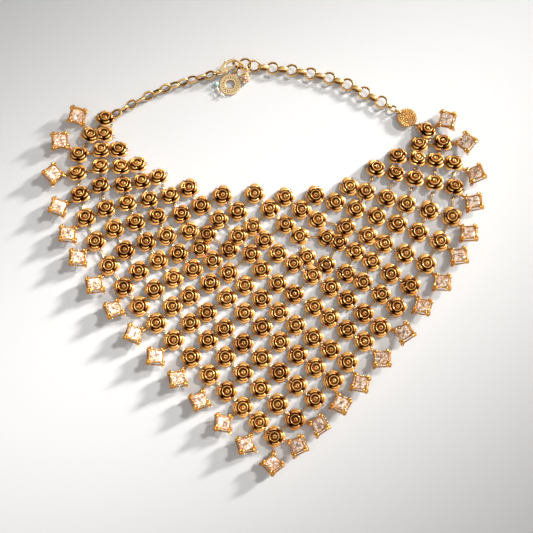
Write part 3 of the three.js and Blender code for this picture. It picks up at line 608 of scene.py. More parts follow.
# %% Bud, rim, curl and eye
OFF_CENTRE = [0.2, -0.12, 0]
CURL_STEPS = 22
WALL_POINTS = 6
# The cup's floor and the foot of the curl are dark with patina and painted shade; the curl's top is light.
bud = lathe([0.8, 2.2, 2.4, 2.9, 2.2, 1.5, 0.8], [3.75, 3.65, 3.4, 1.9, 1.1, 0.0, 0.0],
            recess=[0.7, 0.75, 1, 1, 0.9, 0.6, 0.6])
rim = wall(2.55, 2.9, 5.4, 0.52, full_circle(20), True)
curl_angles = np.linspace(0.4, 0.4 + 2.7 * np.pi, CURL_STEPS)
curl_radius = np.linspace(1.85, 0.85, CURL_STEPS)
curl_top = np.linspace(4.1, 5.1, CURL_STEPS)
curl = wall(curl_radius, 3.5, curl_top, np.linspace(0.25, 0.5, CURL_STEPS), curl_angles, False)
# Deeper in the curl darker, its inner end light: patina and painted shade.
deeper = np.append(np.repeat(np.linspace(0.75, -0.1, CURL_STEPS), WALL_POINTS), [0.5, 0.0])
curl.recess = np.clip(curl.recess + deeper, 0, 1)
eye = wall(0.75, 3.6, 5.0, 0.42, full_circle(10), True)
rose = together([outer_petals, middle_petals, bud, rim, moved(curl, OFF_CENTRE), moved(eye, OFF_CENTRE)])
print("one rose:", triangle_count(rose), "triangles")

# %% [markdown]
# ## All the roses
# No two cast roses lie quite alike: each is turned and tipped by a few degrees and is a little lighter or
# darker than the next. In the two upper corners of the bib they crowd together and lean over one another
# like shingles. One rose could be placed 154 times as linked objects; here its points are copied into a
# few meshes, each light enough to handle, and each stands for the half net that it covers.

# %% Roses
SPLIT_X = 0.5
ROSE_GROUPS = 3
CORNER_TIP = 17
TIP_SPREAD, CORNER_SPREAD, SPIN_SPREAD, TARNISH_SPREAD = 2.5, 4, 3, 0.07
LIFT = 1.3
rose_count = len(rose_places)
rose_x, rose_y = rose_places.T
crowded = smooth(-40, -62, rose_x) * smooth(25, 45, rose_y) + smooth(42, 60, rose_x) * smooth(40, 55, rose_y)
tip_x = rng.normal(0, TIP_SPREAD, rose_count) - CORNER_TIP * crowded
tip_y = rng.normal(0, TIP_SPREAD, rose_count) + rng.normal(0, CORNER_SPREAD, rose_count) * crowded
spin = rose_turn + rng.normal(0, SPIN_SPREAD, rose_count)
turns = turn("x", tip_x) @ turn("y", tip_y) @ turn("z", spin)
shrink = np.clip(0.93 + 0.07 * (nearest - 9) / 3.5, 0.9, 1)
lifted = LIFT * np.abs(np.radians(tip_x)) + LIFT * np.abs(np.radians(tip_y))
rose_bases = np.column_stack([rose_places, lifted])
for side, inside in (("left", rose_x < SPLIT_X), ("right", rose_x >= SPLIT_X)):
    for group, chosen in enumerate(np.array_split(np.flatnonzero(inside), ROSE_GROUPS)):
        shape = copies(rose, turns[chosen] * shrink[chosen, None, None], rose_bases[chosen])
        shape.recess += np.repeat(rng.normal(0, TARNISH_SPREAD, len(chosen)), len(rose.points))
        add_piece(f"roses_{side}_{group + 1}", shape, rose_gold, replaces=[f"rose_net_{side}"])

# %% [markdown]
# ## Loops and jump rings
# On the back of each rose four small loops stick out at its corners, and two jump rings side by side
# carry each loop to the loop of the next rose. From above a pair shows as two short bright lines. They
# could be bent wires with an open joint, but at this size a closed oval of wire reads the same.

# %% Rings of wire
def oval_ring(length, width, wire, segments=20, sides=8, band=None):
    """Wire on an oval in the xy plane: at the angle t its middle is (half length cos t, half width sin t),
    and the wire's circle lies in the plane of the oval's outward normal and z. With a band the section
    is that high and nearly square, its height following the root of the sine."""
    hl, hw = (length - wire) / 2, (width - wire) / 2
    t = (2 * np.pi * (np.arange(segments) + 0.5) / segments)[:, None]
    s = (2 * np.pi * (np.arange(sides) + 0.5) / sides)[None]
    normal = np.stack([np.cos(t) * hw, np.sin(t) * hl], -1)
    normal /= np.linalg.norm(normal, axis=-1, keepdims=True)
    out = wire / 2 * np.cos(s)
    x = hl * np.cos(t) + normal[..., 0] * out
    y = hw * np.sin(t) + normal[..., 1] * out
    z = wire / 2 * np.sin(s) + 0 * t
    if band is not None:
        z = band / 2 * np.sign(np.sin(s)) * np.sqrt(np.abs(np.sin(s))) + 0 * t
    # Inner side of the wire darker: patina and painted shade where links and loops meet.
    inward = 0.8 * (np.cos(s) < 0) * np.ones_like(t)
    return loft(np.stack([x, y, z], -1), inward, closed=True)


def basis(headings):
    """Turn matrices whose x axis is the heading and whose y axis is level."""
    x = np.asarray(headings, float).reshape(-1, 3)
    x = x / np.linalg.norm(x, axis=1)[:, None]
    y = np.stack([-x[:, 1], x[:, 0], np.zeros(len(x))], 1)
    y /= np.linalg.norm(y, axis=1)[:, None]
    return np.stack([x, y, np.cross(x, y)], 2)


print("ring and basis helpers ready")

# %% Loops and jump rings
LOOP_AT = 4.95
LOOP_HEIGHT = 1.25
LOOP_SIZE, LOOP_WIRE = 2.1, 0.55
RING_HEIGHT, RING_WIRE = 1.8, 0.46
RING_HOLD, RING_SHIFT = 0.9, 0.42
HALF_ROOM = 0.2
SHORTEST_GAP = 1.2
angles = np.radians(side_angles)
to_partner = distance[np.arange(rose_count)[:, None], joined]
loop_reach = np.minimum(LOOP_AT, np.where(joined >= 0, to_partner / 2 - HALF_ROOM, LOOP_AT))
loops_xy = rose_places[:, None] + loop_reach[..., None] * np.stack([np.cos(angles), np.sin(angles)], -1)
loop_places = np.concatenate([loops_xy, np.full((*loops_xy.shape[:2], 1), LOOP_HEIGHT)], -1)
small_loop = oval_ring(LOOP_SIZE, LOOP_SIZE, LOOP_WIRE, 8, 4)
rose_loops = copies(small_loop, turn("z", side_angles.ravel()), loop_places.reshape(-1, 3))

ring_shapes = []
for side, opposite in ((0, 2), (1, 3)):
    here = np.flatnonzero(joined[:, side] >= 0)
    there = joined[here, side]
    start, end = loop_places[here, side], loop_places[there, opposite]
    gap = np.linalg.norm(end - start, axis=1)
    wide = gap > SHORTEST_GAP
    start, end, gap = start[wide], end[wide], gap[wide]
    heading = basis(end - start)
    for length in np.unique(np.ceil(gap)):
        chosen = np.ceil(gap) == length
        oval = oval_ring(length + RING_HOLD, RING_HEIGHT, RING_WIRE, 10, 4)
        for shift in (-RING_SHIFT, RING_SHIFT):
            standing = Shape(oval.points @ turn("x", 90)[0].T + [0, shift, 0], oval.faces, oval.recess)
            ring_shapes.append(copies(standing, heading[chosen], (start[chosen] + end[chosen]) / 2))
add_piece("jump_rings", together([rose_loops, *ring_shapes]), chain_gold)

# %% [markdown]
# ## Places of the crystal drops
# The fringe follows the edge of the bib, a drop at each outer rose. Each drop leans towards the rose
# that it hangs from, so its far side windows show. A drop is pushed out where it would lie on a rose.

# %% Drop places
DROP_CLEARANCE = 14.3
PUSHES = 4
fringe = [places_along(route) for route in (FRINGE_LEFT, FRINGE_POINT, FRINGE_RIGHT)]
drop_places = np.vstack([fringe[0][::-1], *fringe[1:]])
for drop in drop_places:
    for _ in range(PUSHES):
        for place in rose_places:
            away = drop - place
            length = math.hypot(*away)
            if length < DROP_CLEARANCE:
                drop[:] = place + away * DROP_CLEARANCE / length
to_roses = rose_places[None] - drop_places[:, None]
hung_from = np.linalg.norm(to_roses, axis=2).argmin(1)
to_rose = to_roses[np.arange(len(drop_places)), hung_from]
drop_heading = np.degrees(np.arctan2(to_rose[:, 1], to_rose[:, 0]))
print(len(drop_places), "drops, pushed clear of the roses")

# %% [markdown]
# ## The claw setting
# Each crystal sits in a square basket: a lower and an upper rail trimmed with tiny beads of metal, a
# post with a double claw at each corner, and struts that run in to a small foot. Real settings are cast
# with their granulation on. The rails are wires carried round a square, the beads are small balls of
# few faces, because there are more than a thousand of them.

# %% Setting
def wire_along(points, radii, sides=6, closed=False, recess=0.0):
    """Round wire through points: at each point a circle square to the direction of the path there."""
    p = np.asarray(points, float)
    following = np.roll(p, -1, 0) if closed else np.vstack([p[1:], 2 * p[-1] - p[-2]])
    before = np.roll(p, 1, 0) if closed else np.vstack([2 * p[0] - p[1], p[:-1]])
    d = following - before
    d /= np.linalg.norm(d, axis=1)[:, None]
    side = np.cross(d, [0.0, 0.0, 1.0])
    bare = np.linalg.norm(side, axis=1) < 1e-6
    side[bare] = [1.0, 0.0, 0.0]
    side /= np.linalg.norm(side, axis=1)[:, None]
    up = np.cross(side, d)
    s = (2 * np.pi * (np.arange(sides) + 0.5) / sides)[None, :, None]
    r = np.broadcast_to(np.asarray(radii, float), (len(p),))[:, None, None]
    rings = p[:, None] + r * (np.cos(s) * side[:, None] + np.sin(s) * up[:, None])
    return loft(rings, recess, closed)


def square_points(reach, height, per_side, bow=0.0):
    """Points round a square whose corners are on the x and y axes; bow pushes its sides outwards."""
    corners = reach * np.array([[1, 0], [0, 1], [-1, 0], [0, -1]], float)
    t = (np.arange(per_side) / per_side)[None, :, None]
    p = corners[:, None] * (1 - t) + np.roll(corners, -1, 0)[:, None] * t
    p *= 1 + bow * np.sin(np.pi * t)
    return np.column_stack([p.reshape(-1, 2), np.full(4 * per_side, height)])


LOWER_REACH, LOWER_HEIGHT = 7.0, 1.15
UPPER_REACH, UPPER_HEIGHT = 6.1, 3.95
CORNER_REACH, SETTING_FOOT = 7.85, 3.4
HANGING_AT = [LOWER_REACH + 1.5, 0, 3.0]
# Rails and foot are darkened: patina and painted shade low in the basket.
lower_rail = wire_along(square_points(LOWER_REACH, LOWER_HEIGHT, 3), 0.42, closed=True, recess=0.75)
upper_rail = wire_along(square_points(UPPER_REACH, UPPER_HEIGHT, 3), 0.36, closed=True, recess=0.75)
foot_rail = wire_along(square_points(SETTING_FOOT, 0.4, 2), 0.36, closed=True, recess=0.9)
# Each grain darker below than on top: patina and painted shade under it.
grain = bead(0.5, [0, 0, 0], 6, [0.5, 0.25, 0.1, 0.0])
GRAIN_ROWS = [(LOWER_REACH + 0.3, LOWER_HEIGHT + 0.1, 9), (UPPER_REACH + 0.15, UPPER_HEIGHT + 0.2, 8)]
grain_places = []
for reach, height, per_side in GRAIN_ROWS:
    round_square = square_points(reach, height, per_side)
    grain_places.append(round_square[np.arange(len(round_square)) % per_side != 0])
grain_places = np.vstack(grain_places)
grains = copies(grain, turn("z", np.zeros(len(grain_places))), grain_places)
print(len(grain_places), "grains on the rails, none at the corners")

# %% Corners of the setting
# Posts and struts darker, claws and knobs light: patina and painted shade in the basket.
post = wire_along([[LOWER_REACH, 0, LOWER_HEIGHT - 0.3], [LOWER_REACH, 0, 2.4],
                   [UPPER_REACH + 0.35, 0, 4.1], [UPPER_REACH - 0.5, 0, 4.75]],
                  [0.6, 0.55, 0.65, 0.42], recess=0.6)
strut = wire_along([[LOWER_REACH - 0.1, 0, LOWER_HEIGHT - 0.2], [5.4, 0, 0.6], [SETTING_FOOT, 0, 0.4]],
                   [0.5, 0.42, 0.36], recess=0.9)
leaf = wire_along([[UPPER_REACH - 1.2, 0.45, 4.75], [UPPER_REACH - 0.5, 0.85, 4.8],
                   [UPPER_REACH + 0.2, 1.15, 4.4], [LOWER_REACH - 0.1, 1.1, 3.0],
                   [LOWER_REACH + 0.1, 0.9, 1.6]], [0.45, 0.9, 1.0, 0.65, 0.5], recess=0.1)
other_leaf = outward(copies(leaf, np.diag([1.0, -1.0, 1.0]), [0, 0, 0]))
lower_knob = bead(0.95, [CORNER_REACH - 0.95, 0, LOWER_HEIGHT + 0.1], 8, 0.1)
upper_knob = bead(0.85, [UPPER_REACH + 0.8, 0, 3.9], 8, 0.0)
corners = round_axis(together([post, strut, leaf, other_leaf, lower_knob, upper_knob]), QUARTERS)
hanging_loop = moved(oval_ring(2.6, 2.6, 0.7, 12, 6), HANGING_AT)
side_lug = oval_ring(2.2, 2.2, 0.75, 12, 6)
setting = together([lower_rail, upper_rail, foot_rail, grains, corners, hanging_loop])
print("one setting:", triangle_count(setting), "triangles")

# %% [markdown]
# ## The cut stone
# The stones are square cuts in pale peach glass, foiled at the back so that each facet throws back a
# different tone: white, peach, tan, and a grey star in the middle. Real refraction could make the tones,
# but it is noisy at this size and changes with every turn of the camera. Here the star and the facets
# are real planes, each a little tilted, and each carries its own tone as an attribute: the tones are
# painted reflections, and the pale tones on the sides are painted light coming through the glass.

# %% Stone
def square_ring(corner_reach, side_reach, height, count):
    """Points round a square from corner to corner, count on each side: the reach runs between that at
    the corners and that at the side middles as on a straight side, then is scaled to meet both."""
    a = 2 * np.pi * np.arange(4 * count) / (4 * count)
    folded = np.abs((a + np.pi / 4) % (np.pi / 2) - np.pi / 4)
    straight = corner_reach * np.sin(np.pi / 4) / np.cos(np.pi / 4 - folded)
    share = folded / (np.pi / 4)
    r = straight * (1 + share * (side_reach / (corner_reach * np.sin(np.pi / 4)) - 1))
    return np.stack([r * np.cos(a), r * np.sin(a), np.full(4 * count, height)], -1)


STONE_RINGS = [(2.0, 1.45, 0.7), (5.75, 4.2, 1.5), (5.95, 4.3, 3.7), (4.9, 3.75, 4.4), (3.5, 2.7, 4.72),
               (1.5, 1.35, 4.62)]
STONE_SIDES = 4
stone_rings = np.array([square_ring(*ring, STONE_SIDES) for ring in STONE_RINGS])
stone_rings[5, 1::2] *= [0.62, 0.62, 1.0]
stone_whole = loft(stone_rings)


def triangles_of(shape):
    """Corner numbers of a shape's triangles, with each four-sided face cut in two."""
    quads = shape.faces[shape.faces[:, 3] >= 0]
    return np.vstack([quads[:, [0, 1, 2]], quads[:, [0, 2, 3]], shape.faces[shape.faces[:, 3] < 0][:, :3]])


stone_corners = triangles_of(stone_whole)
facet_middles = stone_whole.points[stone_corners].mean(1)
facet_reach = np.hypot(facet_middles[:, 0], facet_middles[:, 1])
print("one stone:", len(stone_corners), "facets,", round(stone_whole.volume(), 1), "cubic mm")


def with_tones(points, triangles, tones):
    """Shape whose triangles share no points, so that each keeps its own tone."""
    faces = np.arange(3 * len(triangles)).reshape(-1, 3)
    faces = np.column_stack([faces, np.full(len(faces), -1)])
    return Shape(points[triangles].reshape(-1, 3), faces, np.repeat(np.clip(tones, 0, 1), 3))


def stone_with_tones():
    """A stone whose facets have corners of their own, so that each facet has one tone of painted
    reflection: in the middle the grey star, round it a chance mixture of white and peach, and peach to
    near white on the sides, painted light coming through the glass."""
    count = len(stone_corners)
    tones = rng.choice([0.15, 0.45, 0.65, 0.85, 1.0], count) + rng.normal(0, 0.05, count)
    sides = facet_middles[:, 2] < 3.6
    # Sides pale: painted light coming through the glass.
    tones[sides] = rng.choice([0.7, 0.95, 1.0], int(sides.sum()))
    # Grey star in the middle: a painted reflection.
    star = (facet_reach < 1.3) & (facet_middles[:, 2] > 4)
    tones[star] = rng.choice([0.0, 0.06, 0.12, 0.7], int(star.sum()))
    return with_tones(stone_whole.points, stone_corners, tones)


# %% Crystal material
# Strength of a painted glow: the light the foil would throw back, shown as emission.
PAINTED_GLOW = 0.36
CELL_SCALE, CELL_SPREAD = 800, 0.16
TONE_STOPS = (0.0, 0.3, 0.6, 0.8, 1.0)


def crystal_material(name, tones):
    """Glossy glass whose colour is read from the facets' tone, a little varied by a fine cell pattern: the
    tones are painted reflections. A faint glow of the same colour is painted light: it stands for the
    light that the foil behind the glass throws back."""
    material, tree, shader = plain_material(name, tones[-1], 0.05, IOR=1.9, Metallic=0.15, Coat_Weight=0.6,
                                            Coat_Roughness=0.02, Emission_Strength=PAINTED_GLOW)
    # The recess attribute here carries each facet's tone of painted reflection.
    tone = added(tree, "Attribute")
    tone.attribute_name = "recess"
    place = added(tree, "TexCoord")
    cells = added(tree, "TexVoronoi", Scale=CELL_SCALE)
    shift = scaled_node(tree, CELL_SPREAD, -CELL_SPREAD / 2)
    mixed = sum_node(tree)
    ramp = colour_ramp(tree, *zip(TONE_STOPS, tones))
    link = tree.links.new
    link(place.outputs["Object"], cells.inputs["Vector"])
    link(cells.outputs["Distance"], shift.inputs[0])
    link(shift.outputs[0], mixed.inputs[0])
    link(tone.outputs["Fac"], mixed.inputs[1])
    link(mixed.outputs[0], ramp.inputs["Fac"])
    link(ramp.outputs["Color"], shader.inputs["Base Color"])
    link(ramp.outputs["Color"], shader.inputs["Emission Color"])
    return material


# Tones of the painted facet reflections, from the grey star to near white.
PAINTED_FACET_TONES = [(0.12, 0.10, 0.095), (0.34, 0.14, 0.05), (0.58, 0.34, 0.18), (0.70, 0.50, 0.35),
               (0.75, 0.69, 0.62)]
peach_crystal = crystal_material("peach_crystal", PAINTED_FACET_TONES)
print("crystal made")

# %% [markdown]
# ## The drops in place
# Each drop is the same casting, leaned towards its rose. Those at the very edge of the bib are drawn a
# little smaller, so that nothing reaches past the space of the solids. Its loop sits at the corner that
# faces the rose, and an oval link carries it to a loop under the rose's petals.

# %% Drops
STONE_TILT = 24
EDGE_ROOM = 0.05
LEFT_DROPS = 14
LINK_HOLD = 2.2
lean = turn("z", drop_heading) @ turn("y", np.full(len(drop_places), STONE_TILT))
low, high = np.array(cad_box) / MM
for number, place in enumerate(drop_places):
    node = f"crystal_drop_{number + 1:02d}"
    lug_side = -1 if number < LEFT_DROPS else 1
    lug = moved(side_lug, [0, lug_side * (LOWER_REACH + 0.9), LOWER_HEIGHT + 0.3])
    with_lug = together([setting, lug])
    casting = copies(with_lug, lean[number], [0, 0, 0])
    casting.points[:, 2] -= casting.points[:, 2].min()
    reach = np.array([casting.points.min(0), casting.points.max(0)])
    room = np.array([low[:2] + EDGE_ROOM - place, high[:2] - EDGE_ROOM - place])
    fit = min(1.0, (room / reach[:, :2]).min(), (high[2] - EDGE_ROOM) / reach[1, 2])
    floor_shift = copies(setting, lean[number], [0, 0, 0]).points[:, 2].min()
    origin = np.array([*place, -floor_shift * fit])
    loop_at = fit * (lean[number] @ HANGING_AT) + origin
    rose_at = rose_places[hung_from[number]]
    outwards = (place - rose_at) / np.linalg.norm(place - rose_at)
    rose_loop = np.array([*(rose_at + outwards * LOOP_AT), LOOP_HEIGHT])
    span = np.linalg.norm(rose_loop - loop_at)
    link = oval_ring(span + LINK_HOLD, 2.4, 0.5, 12, 5)
    link.points = link.points @ turn("x", 90)[0].T
    laid_link = copies(link, basis(np.append(-outwards, 0)), (rose_loop + loop_at) / 2)
    placed = copies(with_lug, lean[number] * fit, origin)
    add_piece(f"setting_{number + 1:02d}", together([placed, laid_link, moved(small_loop, rose_loop)]),
              setting_gold, replaces=[node])
    stone = copies(stone_with_tones(), lean[number] * fit, origin)
    add_piece(f"crystal_{number + 1:02d}", stone, peach_crystal, replaces=[node],
              smoothed=False)

# %% [markdown]
# ## Chains
# The left chain has oval links, each a quarter turn from the last. The right chain has large round
# links joined by pairs of narrow ones. The links follow one smooth curve, and each starts where the
# inside of the last one ends, as pulled links do.

# %% Links and routes
OVAL = dict(length=7.1, width=5.4, wire=0.95)
ROUND = dict(length=7.8, width=7.8, wire=1.1)
FLAT = dict(length=6.9, width=4.4, wire=0.9, band=2.3)
SMALL = dict(length=5.0, width=4.2, wire=0.9)
RING = dict(length=4.6, width=4.6, wire=0.8)
LINK_GAP, LINK_BITE = 0.3, 0.12
LEFT_ROUTE = [[-91.5, 97.4, 2.75], [-80, 104.6, 2.75], [-65, 112.1, 2.75], [-50, 117.3, 2.75],
              [-41, 119.5, 3.0], [-35, 120.7, 4.5], [-31, 121.3, 4.5]]
RIGHT_ROUTE = [[-13.4, 125.4, 3.9], [-8, 124.9, 2.9], [0, 124.3, 2.3], [15, 122.2, 2.25], [36.5, 116.3, 2.25],
               [57.2, 105.6, 2.25], [74, 94.6, 2.25], [84, 84, 2.25]]
print("chain routes through", len(LEFT_ROUTE), "and", len(RIGHT_ROUTE), "points")

# %% Chain places
def centripetal(knots, steps):
    """Points on a centripetal Catmull-Rom curve: the legs' spans are the square roots of their lengths,
    and the slopes at a knot blend those of the legs on both sides."""
    p = with_ends(np.array(knots, float))
    span = np.sqrt(np.linalg.norm(np.diff(p, axis=0), axis=1))
    t = np.linspace(0, len(knots) - 1, steps)
    leg = np.minimum(t.astype(int), len(knots) - 2)
    w = (t - leg)[:, None]
    p0, p1, p2, p3 = (p[leg + k] for k in range(4))
    d0, d1, d2 = (span[leg + k][:, None] for k in range(3))
    m1 = d1 * ((p1 - p0) / d0 - (p2 - p0) / (d0 + d1) + (p2 - p1) / d1)
    m2 = d1 * ((p2 - p1) / d1 - (p3 - p1) / (d1 + d2) + (p3 - p2) / d2)
    return ((2 * w**3 - 3 * w**2 + 1) * p1 + (w**3 - 2 * w**2 + w) * m1 + (3 * w**2 - 2 * w**3) * p2
            + (w**3 - w**2) * m2)


def inner_half(link):
    """Half of a link's inner length."""
    return link["length"] / 2 - link["wire"]


def chain_places(route, links, bites):
    """Middle and heading of each link: the distance from one to the next is the sum of their inner
    half lengths and the bite, measured along the curve."""
    p = centripetal(route, 201)
    length = np.append(0, np.cumsum(np.linalg.norm(np.diff(p, axis=0), axis=1)))
    inner = np.array([inner_half(link) for link in links])
    at = np.append(0, np.cumsum(inner[:-1] + inner[1:] + np.array(bites)[1:]))
    at = np.minimum(at, length[-1])
    middle = np.stack([np.interp(at, length, p[:, k]) for k in range(3)], 1)
    ahead = np.stack([np.interp(np.minimum(at + 0.2, length[-1]), length, p[:, k]) for k in range(3)], 1)
    astern = np.stack([np.interp(np.maximum(at - 0.2, 0), length, p[:, k]) for k in range(3)], 1)
    heading = ahead - astern
    return middle, heading / np.linalg.norm(heading, axis=1)[:, None]


def laid(shape, place, heading, roll):
    """Shape rolled about its own length, then turned to the heading and put in its place."""
    return copies(shape, basis(heading) @ turn("x", roll), place)


left_links = [OVAL] * 12 + [RING]
left_bites = [LINK_BITE, -LINK_GAP] + [LINK_BITE] * 10 + [-LINK_GAP]
left_rolls = [90 * i + 90 * i / 11 for i in range(12)] + [90]
left_middle, left_heading = chain_places(LEFT_ROUTE, left_links, left_bites)
right_links = [ROUND] + [ROUND if i % 2 else FLAT for i in range(14)] + [SMALL] * 3
right_rolls = [45] + [0 if i % 2 else 90 for i in range(14)] + [90, 0, 90]
right_middle, right_heading = chain_places(RIGHT_ROUTE, right_links, [LINK_BITE] * len(right_links))
print("left chain ends at", left_middle[-1].round(2), "right chain at", right_middle[-1].round(2))

# %% Chain meshes
OVAL_FULLER, ROUND_FULLER = 1.35, 1.12


def link_shape(link):
    """One link: wire, or a flat band where the chain has its narrow links. The outside keeps its size and
    the wire is fuller than the solid's, because a round wire shows less of itself."""
    fuller = OVAL_FULLER if link is OVAL else ROUND_FULLER
    return oval_ring(link["length"], link["width"], fuller * link["wire"], 24, 8, link.get("band"))


def chain(links, middles, headings, rolls):
    """All the links of a chain as one shape."""
    return together([laid(link_shape(link), *rest) for link, *rest in zip(links, middles, headings, rolls)])


first_link = laid(link_shape(OVAL), left_middle[0], left_heading[0], left_rolls[0])
add_piece("left_end_link", first_link, chain_gold)
other_links = chain(left_links[1:-1], left_middle[1:-1], left_heading[1:-1], left_rolls[1:-1])
add_piece("left_chain_links", other_links, chain_gold, replaces=["chain_left"])
swivel_ring = laid(link_shape(RING), left_middle[-1], left_heading[-1], left_rolls[-1])
add_piece("clasp_swivel_ring", swivel_ring, chain_gold, replaces=["clasp_ring"])
add_piece("right_chain_links", chain(right_links, right_middle, right_heading, right_rolls), chain_gold,
          replaces=["chain_right"])

# %% [markdown]
# ## Clasp
# The lobster clasp is a cast body with a spring lever. Its solids already have the right form and the
# slot that the lever needs, but with sharp edges and flat facets. A bevel would round the edges and keep
# the facets. Here a copy of each is merged, cut anew into fine voxels and smoothed, as tumbling wears a
# casting, which keeps the form and the clearances.

# %% Clasp
CLASP_VOXEL = 0.11


def rounded_copy(node, name, material, body, passes):
    """Copy of a CAD node's mesh, its loose triangles merged, then remeshed in voxels and smoothed, each
    pass moving every point halfway to the mean of its neighbours. Voxels carry no recess, so the colour
    ramp starts from zero everywhere and only its noise varies the gold."""
    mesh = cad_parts[node].data.copy()
    mesh.name = name
    work = bmesh.new()
    work.from_mesh(mesh)
    bmesh.ops.remove_doubles(work, verts=work.verts, dist=1e-6)
    bmesh.ops.dissolve_limit(work, angle_limit=math.radians(1), verts=work.verts, edges=work.edges)
    work.to_mesh(mesh)
    work.free()
    mesh.materials.clear()
    mesh.materials.append(material)
    piece = bpy.data.objects.new(name, mesh)
    bpy.context.scene.collection.objects.link(piece)
    fine = piece.modifiers.new("voxels", "REMESH")
    fine.mode = "VOXEL"
    fine.voxel_size = CLASP_VOXEL * MM
    fine.use_smooth_shade = True
    worn = piece.modifiers.new("wear", "SMOOTH")
    worn.factor = 0.5
    worn.iterations = passes
    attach(piece, body)
    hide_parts(node)
    print(name, "from", node)


rounded_copy("clasp_body", "clasp_casting", clasp_gold, "necklace", 34)
rounded_copy("clasp_lever", "clasp_spring_lever", clasp_gold, "clasp_lever", 18)

# %% [markdown]
# ## Links at the clasp
# Two loose round links hang in the clasp, a long link carries the tag, and the stone ball hangs from
# the second round link. Their places follow from the clasp: its eye, its angle and the links' sizes.

# %% Places at the clasp
CLASP_ANGLE = 38
HOOK_REACH, HOOK_SIDE = 9.8, 0.2
LINK_HEADING, LINK_ROLL = -25, 80
SPARE_PLACE = np.array([-18.3, 126.1, 4.5])
round_reach = (ROUND["width"] - ROUND["wire"]) / 2
clasp_eye = left_middle[-1] + left_heading[-1] * (RING["width"] - RING["wire"]) / 2
clasp_turn = turn("z", CLASP_ANGLE)[0]
link_axis = turn("z", LINK_HEADING)[0] @ [1, 0, 0]
clasp_link_place = clasp_eye + clasp_turn @ [HOOK_REACH, HOOK_SIDE, 0] + link_axis * round_reach
add_piece("clasp_round_link", laid(link_shape(ROUND), clasp_link_place, link_axis, LINK_ROLL), chain_gold,
          replaces=["clasp_link"])
spare_heading = right_middle[0] - clasp_link_place
add_piece("loose_round_link", laid(link_shape(ROUND), SPARE_PLACE, spare_heading, 0), chain_gold,
          replaces=["spare_link"])

# %% Place of the tag
TAG_RADIUS, TAG_THICKNESS, TAG_HOLE = 6.1, 1.2, 2.5
TAG_LINK = dict(length=6.6, width=3.9, wire=0.8)
TAG_TARGET = [-27.7, 113.8, 0]
TAG_EYE_REACH = 1.2
HANG, TABLE_ROOM = 0.7, 0.05
level_side = np.array([-link_axis[1], link_axis[0], 0])
low_wire = clasp_link_place - level_side * round_reach * math.cos(math.radians(LINK_ROLL))
low_wire = low_wire - [0, 0, round_reach * math.sin(math.radians(LINK_ROLL))]
tag_heading = (low_wire - TAG_TARGET) * [1, 1, 0]
tag_heading /= np.linalg.norm(tag_heading)
tag_link_place = low_wire - tag_heading * HANG
tag_link_place[2] = TAG_LINK["width"] / 2 + TABLE_ROOM
tag_loop = tag_link_place - tag_heading * (TAG_LINK["length"] - TAG_LINK["wire"]) / 2
tag_reach = TAG_RADIUS + TAG_EYE_REACH
slope = math.asin((tag_link_place[2] - TAG_THICKNESS / 2) / (tag_reach + TAG_RADIUS))
tag_axis = tag_heading * math.cos(slope) + [0, 0, math.sin(slope)]
tag_centre = tag_loop - tag_axis * tag_reach
add_piece("long_tag_link", laid(oval_ring(**TAG_LINK), tag_link_place, tag_heading, 90), chain_gold,
          replaces=["tag_link"])
print("tag at", tag_centre.round(2))

# %% [markdown]
# ## Tag
# The tag is a flat washer with a slightly raised edge. The marks on it are plain: a ring of dots and a
# ring of short ticks. Engraving filled with dark wax would be cut in; here each mark is a small dark
# piece that stands up by a tenth of a millimetre, which reads the same and needs no boolean cut.

# %% Tag
washer = [[TAG_HOLE, -0.45], [TAG_HOLE + 0.2, -0.6], [TAG_RADIUS - 0.2, -0.6], [TAG_RADIUS, -0.4],
          [TAG_RADIUS, 0.4], [TAG_RADIUS - 0.25, 0.6], [TAG_RADIUS - 0.7, 0.52], [TAG_HOLE + 0.7, 0.52],
          [TAG_HOLE + 0.3, 0.6], [TAG_HOLE, 0.4]]


def turned_ring(profile, around, recess):
    """Closed profile of radius and height turned all the way round the z axis."""
    a = (2 * np.pi * np.arange(around) / around)[:, None]
    r, z = np.array(profile)[None, :, 0], np.array(profile)[None, :, 1]
    rings = np.stack([r * np.cos(a), r * np.sin(a), z + 0 * a], -1)
    return loft(rings, np.broadcast_to(recess, rings.shape[:2]), closed=True)


# Underside and hole darker, raised edge light: patina and painted shade.
washer_recess = [0.4, 0.5, 0.5, 0.2, 0, 0, 0.05, 0.05, 0, 0.2]
tick = wire_along([[3.6, 0, 0.42], [4.5, 0, 0.42]], 0.25, 5, recess=1.0)
dot = bead(0.32, [5.05, 0, 0.36], 6, 1.0)
MARK_ANGLES = 20 * np.arange(18)
marks = [round_axis(tick, MARK_ANGLES), round_axis(dot, MARK_ANGLES + 10)]
tag_eye = moved(oval_ring(3.1, 3.1, 0.8, 14, 7), [tag_reach, 0, 0])
tag = together([turned_ring(washer, 40, washer_recess), *marks, tag_eye])
add_piece("round_tag", laid(tag, tag_centre, tag_axis, 0), clasp_gold, replaces=["tag"])

# %% [markdown]
# ## Textured disc
# Where the right chain meets the bib there is a round disc with a pebbled face. The plate stays the
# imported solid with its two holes; a rim and rings of small domes make the pebbles.

